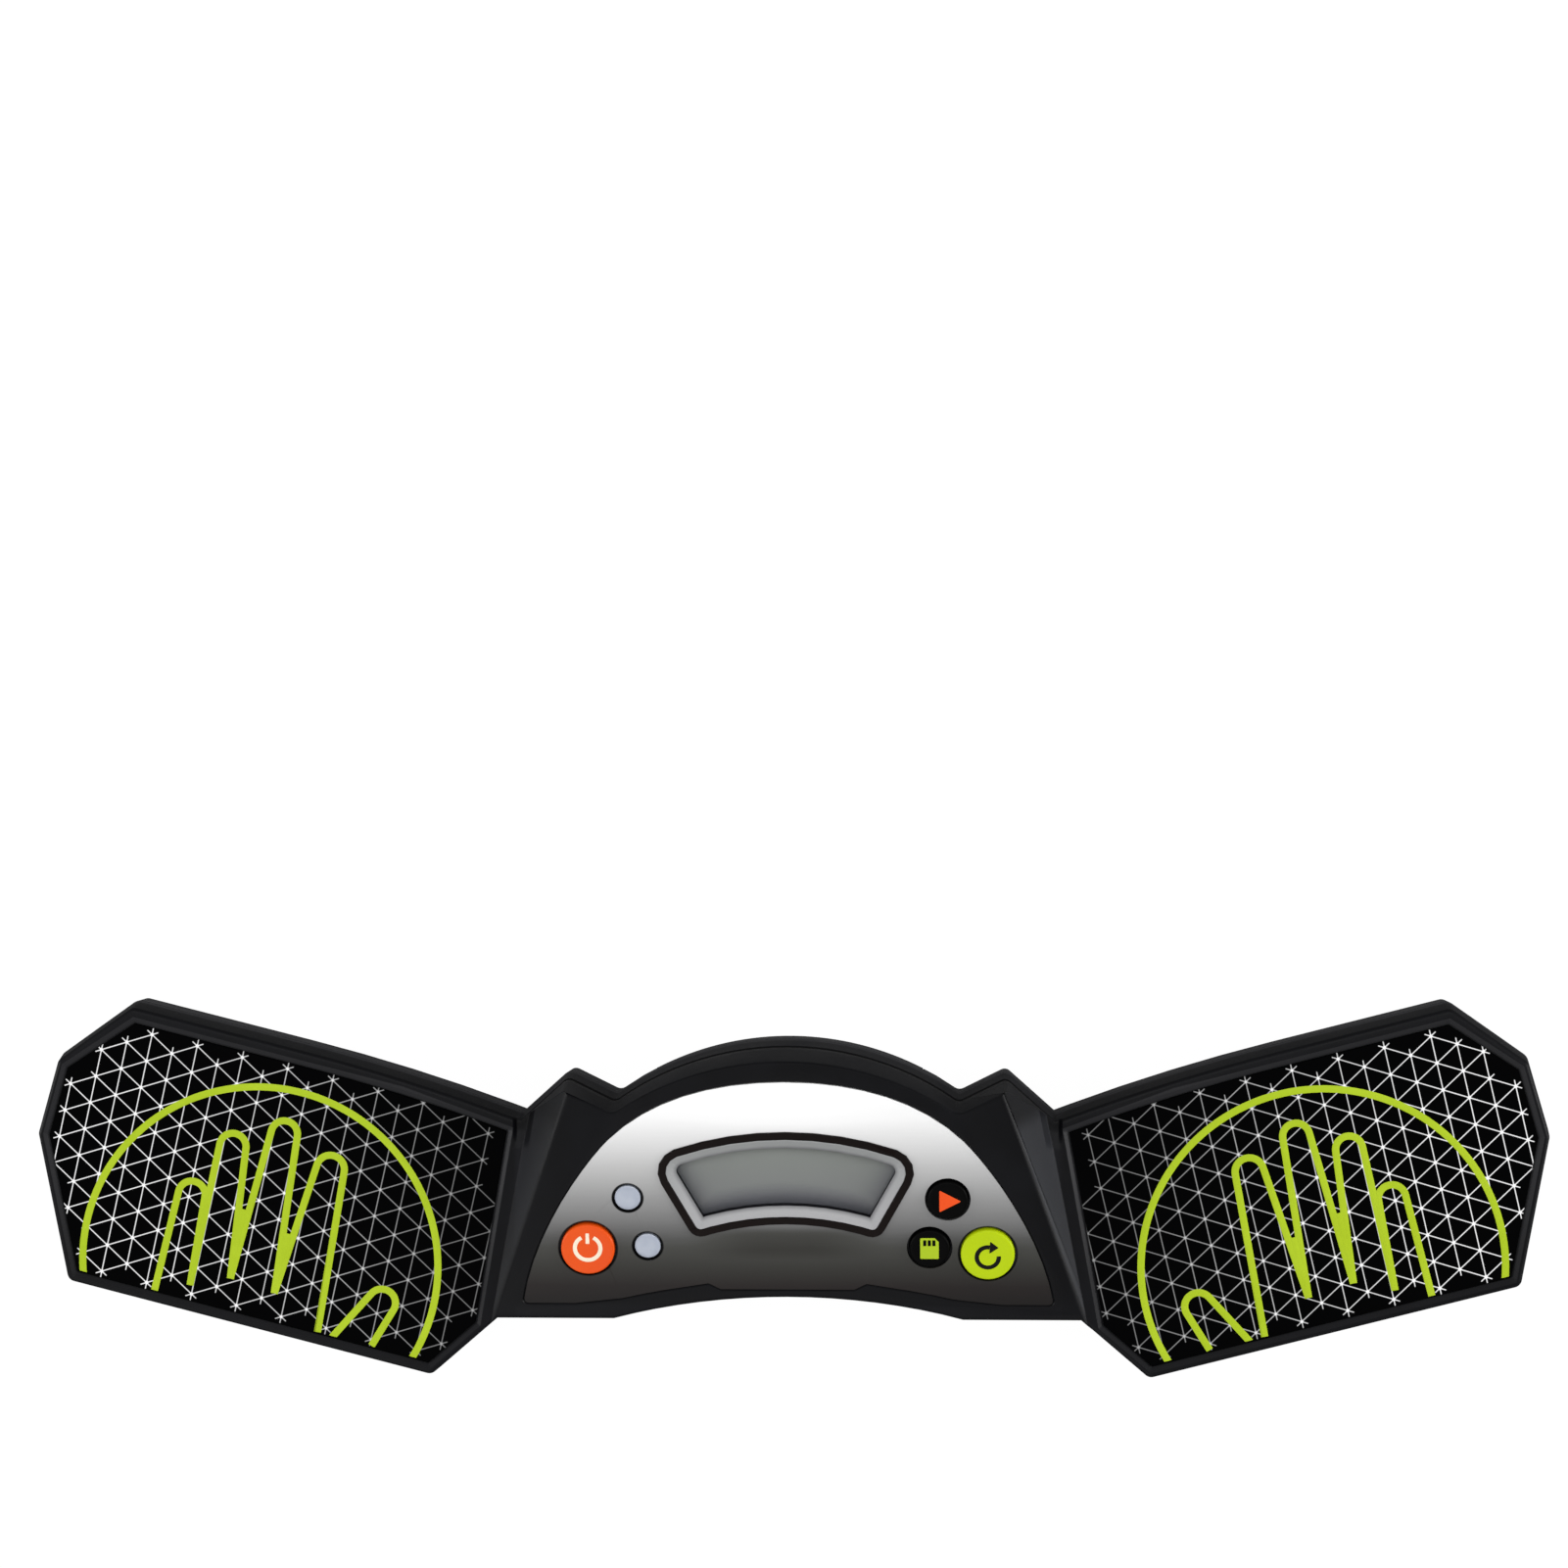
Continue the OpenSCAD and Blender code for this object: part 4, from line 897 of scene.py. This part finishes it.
# the grey follows v, moved by the brushing, by a painted highlight crest and by a dark dip, both in
# the middle
highlight_crest = (1 - across.smooth(2, 24)) * v.smooth(12, 18)
dip = (1 - across.smooth(4, 20)) * (1 - abs(v - DIP_V).smooth(1, 4))
up = v + (brush - 0.5) * BRUSH_SHIFT + highlight_crest * HIGHLIGHT_CREST_SHIFT - dip * DIP_SHIFT
share = (up - PRINT_LOW) / PRINT_LENGTH
shade = share.make("ShaderNodeValToRGB", {"Fac": share}, stops=[
    (0.0, rgb("0e0b0a")), (0.09, rgb("1d1817")), (0.17, rgb("2f2e2b")), (0.26, rgb("40403d")),
    (0.3, rgb("4f4f4e")), (0.35, rgb("686868")), (0.48, rgb("939393")), (0.61, rgb("bababa")),
    (0.74, rgb("dedede")), (0.83, rgb("f4f4f4")), (0.95, rgb("fcfcfc"))])
# painted shade: a dark ring round each lamp and each bright key widens the dark gap round it
gap_shade_rings = [(POWER, BIG + 0.7), (RESET, BIG + 0.65)]
gap_shade_rings += [(spot, LAMP_R + 0.65) for spot in LAMPS.values()]
for spot, radius in gap_shade_rings:
    dx, dv = plate_finish.x - spot[0], v - spot[1]
    inside = 1 - (dx * dx + dv * dv).root().smooth(radius - 0.15, radius + 0.05)
    shade = inside.blend(shade, "040303")
plate_finish.set(Base_Color=shade, Roughness=0.36 + brush * 0.12)
plate_finish.bump(brush, 0.003)
paint("faceplate", plate_finish)
print("faceplate:", len(gap_shade_rings), "dark rings printed on it")

# %% [markdown]
# ## The window
# A dark ring and a bevelled silver frame hold a clear window over the display's glass. All four
# are right in CAD, so only their finishes are made. The frame gets painted shade towards its inner
# edge and a painted highlight along its bottom. The blank glass shows the frame's shadow, written
# as a mask because real light would need tuning.

# %% Window ring, frame and lens
trim_finish = moulded("trim_finish", "0c0605", "130b09",
                      roughness=0.36, relief=0.003, gloss=0.08)
paint("window_trim", trim_finish)
bezel_silver_and_light = Finish("bezel_silver_and_light", Specular_IOR_Level=0.4)
v, w = face_point(bezel_silver_and_light)
grain = bezel_silver_and_light.noise(0.3, 2.0)
# painted highlight: the frame is lighter along its bottom
silver_with_painted_light = v.smooth(-4, 11).blend("9c9c9e", "8c8e8e")
# painted shade towards the frame's inner edge, down in the window
silver_with_painted_light = w.smooth(-0.8, -0.3).blend("57575a", silver_with_painted_light)
bezel_silver_and_light.set(Base_Color=(grain * 0.15).blend(silver_with_painted_light, "d4d4d4"),
                 Roughness=0.3 + grain * 0.1)
bezel_silver_and_light.bump(grain, 0.002)
paint("display_bezel", bezel_silver_and_light)

lens_finish = Finish("lens_finish", Alpha=0.1, Specular_IOR_Level=0.4)
haze = lens_finish.noise(8.0, 1.0)
lens_finish.set(Base_Color=haze.blend("888b8a", "929594"), Roughness=0.1 + haze * 0.04)
paint("display_lens", lens_finish)

# %% Display
GLASS_LOW, GLASS_RISE = -4.6, 14.4
GLASS_HALF, GLASS_HALF_AT = 24.4, 6.0
SHADOW_REACH = 4.4
glass_finish = Finish("display_glass_finish", Specular_IOR_Level=0.2)
v = face_point(glass_finish)[0]
sheet = ((v - GLASS_LOW) / GLASS_RISE).clamp().blend("747477", "8a8f89")
# the frame's shadow lies along the glass's bottom edge, which is an arc, and along its ends
arc_rise = glass_finish.x * glass_finish.x / (2 * WINDOW_LOW_R)
from_bottom = v - WINDOW_LOW_Y - RING - FRAME + arc_rise
from_end = GLASS_HALF - abs(glass_finish.x) - (GLASS_HALF_AT - v) * 0.5
lit = from_bottom.min(from_end * 0.49).smooth(0.0, SHADOW_REACH)
glass_finish.set(Base_Color=lit.blend("4a4a54", sheet),
                 Roughness=0.3 + glass_finish.noise(0.4, 2.0) * 0.1)
paint("lcd_panel", glass_finish)
framed = ("faceplate", "window_trim", "display_bezel")
for name in framed:
    soften(name, 0.12)
print("soft edges on", *framed)

# %% [markdown]
# ## The printed pads
# Each wing carries a thin black film with two prints. Fine white lines cross in three directions
# and make small triangles: bright at the wing's tip, grey near the console. They end short of the
# film's edge, in open stars. The lines are all alike, so they are worked out in the material. The
# lime circle and hand are thicker ink and get a body of their own, below.

# %% Pad print
LINE_A, LINE_B, NODE = (4.84, 1.435), (3.66, -3.59), (-134.95, 20.3)
LINE_HALF = 0.08
EDGE, STUB = 2.2, 1.3
TIP_FADE = (58.0, 136.0)
WHOLE_STEPS = 1000.0


def lattice():
    """Rows of the matrix that turns a point into steps along LINE_A and LINE_B."""
    det = LINE_A[0] * LINE_B[1] - LINE_B[0] * LINE_A[1]
    return ((LINE_B[1] / det, -LINE_B[0] / det), (-LINE_A[1] / det, LINE_A[0] / det))


def line_ink(away):
    """1 on a printed line and 0 beside it, from the distance to its middle in mm."""
    return 1 - away.smooth(LINE_HALF - 0.05, LINE_HALF + 0.07)


def within_edge(depth):
    return depth.smooth(EDGE, EDGE + 0.02)


def pad_print():
    """The film's lattice. WHOLE_STEPS is added before FRACT, which wants positive numbers."""
    finish = Finish("pad_print", Specular_IOR_Level=0.02)
    across = abs(finish.x)
    rows = lattice()
    steps = [(0.0 - across - NODE[0]) * gx + (finish.y - NODE[1]) * gy for gx, gy in rows]
    rows = [*rows, (rows[0][0] + rows[1][0], rows[0][1] + rows[1][1])]
    steps.append(steps[0] + steps[1])
    offsets = [step.math("FRACT", step + (WHOLE_STEPS + 0.5)) - 0.5 for step in steps]
    halves = [step.math("FRACT", step + WHOLE_STEPS) - 0.5 for step in steps]
    aways = [abs(offset) / math.hypot(*row) for offset, row in zip(offsets, rows)]
    diagonal = (LINE_A[0] - LINE_B[0], LINE_A[1] - LINE_B[1])
    # for each family: the way back to its line, the way back to the run's middle, and the run
    families = [((offsets[0], LINE_A), (halves[1], LINE_B)),
                ((offsets[1], LINE_B), (halves[0], LINE_A)),
                ((offsets[2], LINE_B), (halves[0], diagonal))]
    inked, crossed = None, None
    for away, ((off, way), (along, run)) in zip(aways, families):
        near = 1 - away.smooth(0.1, 0.5)
        # a run between two crossings is drawn where both of them lie inside the border
        depth = field_depth(across + (off * way[0] + along * run[0]),
                            finish.y - (off * way[1] + along * run[1]), run)
        line = line_ink(away) * within_edge(depth)
        inked = line if inked is None else inked.max(line)
        crossed = near if crossed is None else crossed * near
    # and each crossing inside it keeps its whole star
    from_node = [offsets[0] * LINE_A[i] + offsets[1] * LINE_B[i] for i in (0, 1)]
    reach = (from_node[0] * from_node[0] + from_node[1] * from_node[1]).root()
    node_depth = field_depth(across + from_node[0], finish.y - from_node[1])
    star = (1 - reach.smooth(STUB - 0.2, STUB)) * within_edge(node_depth)
    for away in aways:
        inked = inked.max(line_ink(away) * star)
    bright = across.smooth(*TIP_FADE) * 0.78 + 0.17
    ink = (inked * bright + crossed * bright * star).clamp()
    film = finish.noise(0.3, 2.0).blend("000000", "020203")
    finish.set(Base_Color=ink.blend(film, "fafafa"),
               Roughness=0.6 + ink * 0.1 + finish.noise(8.0, 2.0) * 0.08)
    return finish.bump(ink, 0.01)


pad_finish = pad_print()
PAD_TOP, PAD_CHAMFER = 13.7, 0.12
for side, name in ((1, "right_pad"), (-1, "left_pad")):
    film_edge = RIM_WIDTH + CLEAR
    rings = field_rings(side, [(PAD_FLOOR, film_edge), (PAD_TOP - PAD_CHAMFER, film_edge),
                               (PAD_TOP, film_edge + PAD_CHAMFER)])
    pad = loft(name.replace("pad", "printed_pad"), rings)
    settle(smooth(pad), pad_finish, replaces=[name])
print("pads:", len(pad.data.vertices), "points each")

# %% Ink strokes
def stroke(name, points, width, height, place):
    """A bead of ink along flat points in mm, standing on the plane z = 0 of place."""
    select_none()
    data = bpy.data.curves.new(name, "CURVE")
    data.dimensions = "3D"
    data.bevel_depth = width / 2 * MM
    data.bevel_resolution = 3
    data.use_fill_caps = True
    line = data.splines.new("POLY")
    line.points.add(len(points) - 1)
    for point, (x, y) in zip(line.points, points):
        point.co = (x * MM, y * MM, 0, 1)
    piece = bpy.data.objects.new(name, data)
    bpy.context.scene.collection.objects.link(piece)
    hold(piece)
    bpy.ops.object.convert(target="MESH")
    piece = bpy.context.object
    piece.data.transform(place @ Matrix.Diagonal((1, 1, 2 * height / width, 1)))
    return piece


def joined(name, pieces):
    select_none()
    for piece in pieces:
        piece.select_set(True)
    bpy.context.view_layer.objects.active = pieces[0]
    bpy.ops.object.join()
    return named(name)


# %% [markdown]
# ## The lime hand
# A circle and an open hand show where the palms go. Each finger is one stroke: up one side, round
# the tip and down the other. Neighbours share a base point, so their strokes close in on each
# other like a V, and a short web of ink fills its foot. All strokes are trimmed along the film's
# front edge.

# %% Hand strokes
HAND_CIRCLE, HAND_R = Vector((-99.7, -14.0)), 33.75
LIME_WIDTH, LIME_HEIGHT, LIME_STEP = 1.35, 0.05, 0.004
FINGERS = {
    "little": ((-119.9, -19.2), (-112.4, -0.8), 2.55, (-113.1, -18.2)),
    "ring": ((-113.1, -18.2), (-104.4, 8.4), 2.5, (-105.4, -16.9)),
    "middle": ((-105.4, -16.9), (-94.6, 10.8), 2.5, (-97.1, -19.7)),
    "index": ((-97.1, -19.7), (-86.0, 4.1), 2.65, (-89.0, -27.1)),
    "thumb": ((-86.3, -28.1), (-76.7, -21.4), 2.6, (-78.8, -29.7)),
}


def finger(base_in, tip, radius, base_out):
    """Up from one base point, round the tip's circle and down to the other base point."""
    tip = Vector(tip)

    def touch(base, side):
        away = Vector(base) - tip
        lean = math.acos(radius / away.length)
        return math.atan2(away.y, away.x) + side * lean

    start, end = touch(base_in, -1), touch(base_out, 1)
    while end > start:
        end -= 2 * math.pi
    arc = [polar(tip, radius, start + (end - start) * i / 20) for i in range(21)]
    return [Vector(base_in), *arc, Vector(base_out)]


def web(left, right):
    """Fills the narrow foot of the V between two neighbouring finger strokes."""
    base = left[-1]
    up_left, up_right = left[-2] - base, right[1] - base
    gap = up_left.angle(up_right)
    length = min(0.75 * LIME_WIDTH / math.sin(gap / 2), 0.9 * up_left.length)
    middle = (up_left.normalized() + up_right.normalized()).normalized()
    return [base, base + middle * length]


lime_ink = moulded("lime_ink", "a4bd1e", "b0c92a", roughness=0.45, relief=0.003, gloss=0.15)
front_normal = (Vector(LOWER_TIP) - Vector(FRONT_CORNER)).normalized().orthogonal()
edge_at = Vector(FRONT_CORNER) + front_normal * (RIM_WIDTH + 0.45)
lift = Matrix.Translation(mm(0, 0, PAD_TOP))
circle_arc = [polar(HAND_CIRCLE, HAND_R, math.radians(a)) for a in range(-50, 206, 2)]
fingers = [finger(*f) for f in FINGERS.values()]
webs = [web(a, b) for a, b in zip(fingers[:3], fingers[1:4])]
for side in (-1, 1):
    beads = []
    for number, points in enumerate([circle_arc, *fingers, *webs]):
        # tops in one plane would show through each other, so each bead's height differs a little
        height = LIME_HEIGHT + LIME_STEP * number
        bead = stroke("ink", [(-side * p.x, p.y) for p in points], LIME_WIDTH, height, lift)
        slice_off(bead, mm(side * edge_at.x, edge_at.y, 0),
                  Vector((-side * front_normal.x, -front_normal.y, 0)))
        beads.append(bead)
    hand = joined("left_hand_print" if side < 0 else "right_hand_print", beads)
    settle(smooth(hand, 40), lime_ink)
print("hand prints:", len(beads), "strokes each")

# %% [markdown]
# ## Buttons and lamps
# The buttons are moulded caps that stand a little out of the plate. Their rims are rounded and
# their tops very slightly dished, with a flange below that the roof holds back. Each carries a
# raised sign. The caps ride on the bodies that the joints move, and so do their signs.

# %% Button caps
TOP, FLANGE_LOW, FLANGE = 0.6, -2.9, 0.8
CAP_EDGE = 0.4


def cap(key, spot, radius, finish):
    edge = [(radius - inwards, TOP - down)
            for inwards, down in rounded(CAP_EDGE, (0, 25, 50, 75, 90))]
    dish = [(radius - 0.9, TOP), (radius - 1.5, TOP - 0.03), (radius * 0.35, TOP - 0.05)]
    piece = turned_part(key + "_cap", spot, [
        (radius + 0.75, FLANGE_LOW), (radius + 0.8, FLANGE_LOW + 0.05),
        (radius + 0.8, FLANGE_LOW + FLANGE), (radius, FLANGE_LOW + FLANGE), *edge, *dish])
    settle(smooth(piece, 40), finish, body=key + "_key", replaces=[key + "_button"])


cap("power", POWER, BIG, orange_plastic)
cap("reset", RESET, BIG, lime_plastic)
cap("play", PLAY, SMALL, black_plastic)
cap("memory", MEMORY, SMALL, black_plastic)
print("four caps, standing", TOP, "mm out of the plate")

# %% Signs
SIGN, SIGN_SUNK = 0.06, 0.05


def sign_place(spot):
    return FACE_FRAME @ Matrix.Translation(mm(spot[0], spot[1], TOP - SIGN_SUNK))


def arc_points(centre, radius, start, end, steps=40):
    return [polar(centre, radius, math.radians(start + (end - start) * i / steps))
            for i in range(steps + 1)]


def oblong(centre, half_x, half_y):
    return [Vector((centre[0] + sx * half_x, centre[1] + sy * half_y))
            for sx, sy in ((-1, -1), (1, -1), (1, 1), (-1, 1))]


def flat_sign(name, spot, corners, chamfer=0.03):
    """A raised flat sign with a fine chamfer, from corners in mm about the button's centre."""
    def ring(inset, w):
        return face_level([p + Vector(spot) for p in outline(corners, inset, 4)], w)
    top = TOP + SIGN - SIGN_SUNK
    return loft(name, [ring(0, TOP - 0.1), ring(0, top - chamfer), ring(chamfer, top)])


cream_ink = moulded("cream_ink", "efe0c6", "f8edd8", roughness=0.45, relief=0.003, gloss=0.2)
orange_ink = moulded("orange_ink", "e84a10", "f05a1c", roughness=0.4, relief=0.003, gloss=0.2)
black_ink = moulded("black_ink", "050504", "0c0c0a", roughness=0.4, relief=0.003, gloss=0.12)

power_sign = joined("power_sign", [
    stroke("ring", arc_points((0, 0.3), 2.4, 118, 422), 0.8, SIGN, sign_place(POWER)),
    stroke("bar", [(0, 1.2), (0, 3.3)], 0.7, SIGN, sign_place(POWER))])
settle(smooth(power_sign, 40), cream_ink, body="power_key")
play_sign = flat_sign("play_sign", PLAY, [
    (-1.55, -2.3, 0.15), (2.5, -0.1, 0.15), (-1.55, 2.1, 0.15)])
settle(smooth(play_sign), orange_ink, body="play_key")
card = flat_sign("memory_sign", MEMORY, [
    (-1.75, -2.0, 0.2), (1.7, -2.0, 0.2), (1.7, 1.45, 0.1), (0.95, 2.2, 0.1), (-1.75, 2.2, 0.2)])
NOTCH_HALF = 0.3
for x in (-1.2, -0.35, 0.5):
    notch = oblong((MEMORY[0] + x + NOTCH_HALF, MEMORY[1] + 1.2), NOTCH_HALF, 0.6)
    combine(card, loft("notch", [face_level(notch, w) for w in (0.0, 1.0)]))
settle(smooth(card), lime_ink, body="memory_key")
reset_sign = joined("reset_sign", [
    stroke("ring", arc_points((0, -0.45), 2.05, 80, 366), 0.85, SIGN, sign_place(RESET)),
    flat_sign("head", RESET, [(0.3, 0.3, 0.1), (2.0, 1.5, 0.1), (0.45, 2.75, 0.1)])])
settle(smooth(reset_sign, 40), black_ink, body="reset_key")
print("signs:", [s.name for s in (power_sign, play_sign, card, reset_sign)])

# %% Lamps
LEG_APART, LEG_HALF = 1.27, 0.25
led_finish = Finish("lamp_finish", Transmission_Weight=0.25, IOR=1.45, Roughness=0.22)
milk = led_finish.noise(1.5, 2.0)
led_finish.set(Base_Color=milk.blend("b4bdcf", "c8cedb"))
for name, spot in LAMPS.items():
    dome = [(LAMP_R * math.sin(t), 0.1 - 0.35 * (1 - math.cos(t)))
            for t in map(math.radians, (88, 70, 50, 30, 12))]
    bulb = turned_part(name.replace("led", "lamp"), spot, [
        (LAMP_R + 0.35, -5.5), (LAMP_R + 0.35, -4.8), (LAMP_R, -4.8), (LAMP_R, -0.35), *dome])
    legs = []
    for leg in (-1, 1):
        square = oblong((spot[0] + leg * LEG_APART, spot[1]), LEG_HALF, LEG_HALF)
        legs.append(loft("leg", [face_level(square, w) for w in (-7.7, -5.4)]))
    settle(smooth(joined(bulb.name, [bulb, *legs]), 40), led_finish, replaces=[name])
print("lamps:", *LAMPS)
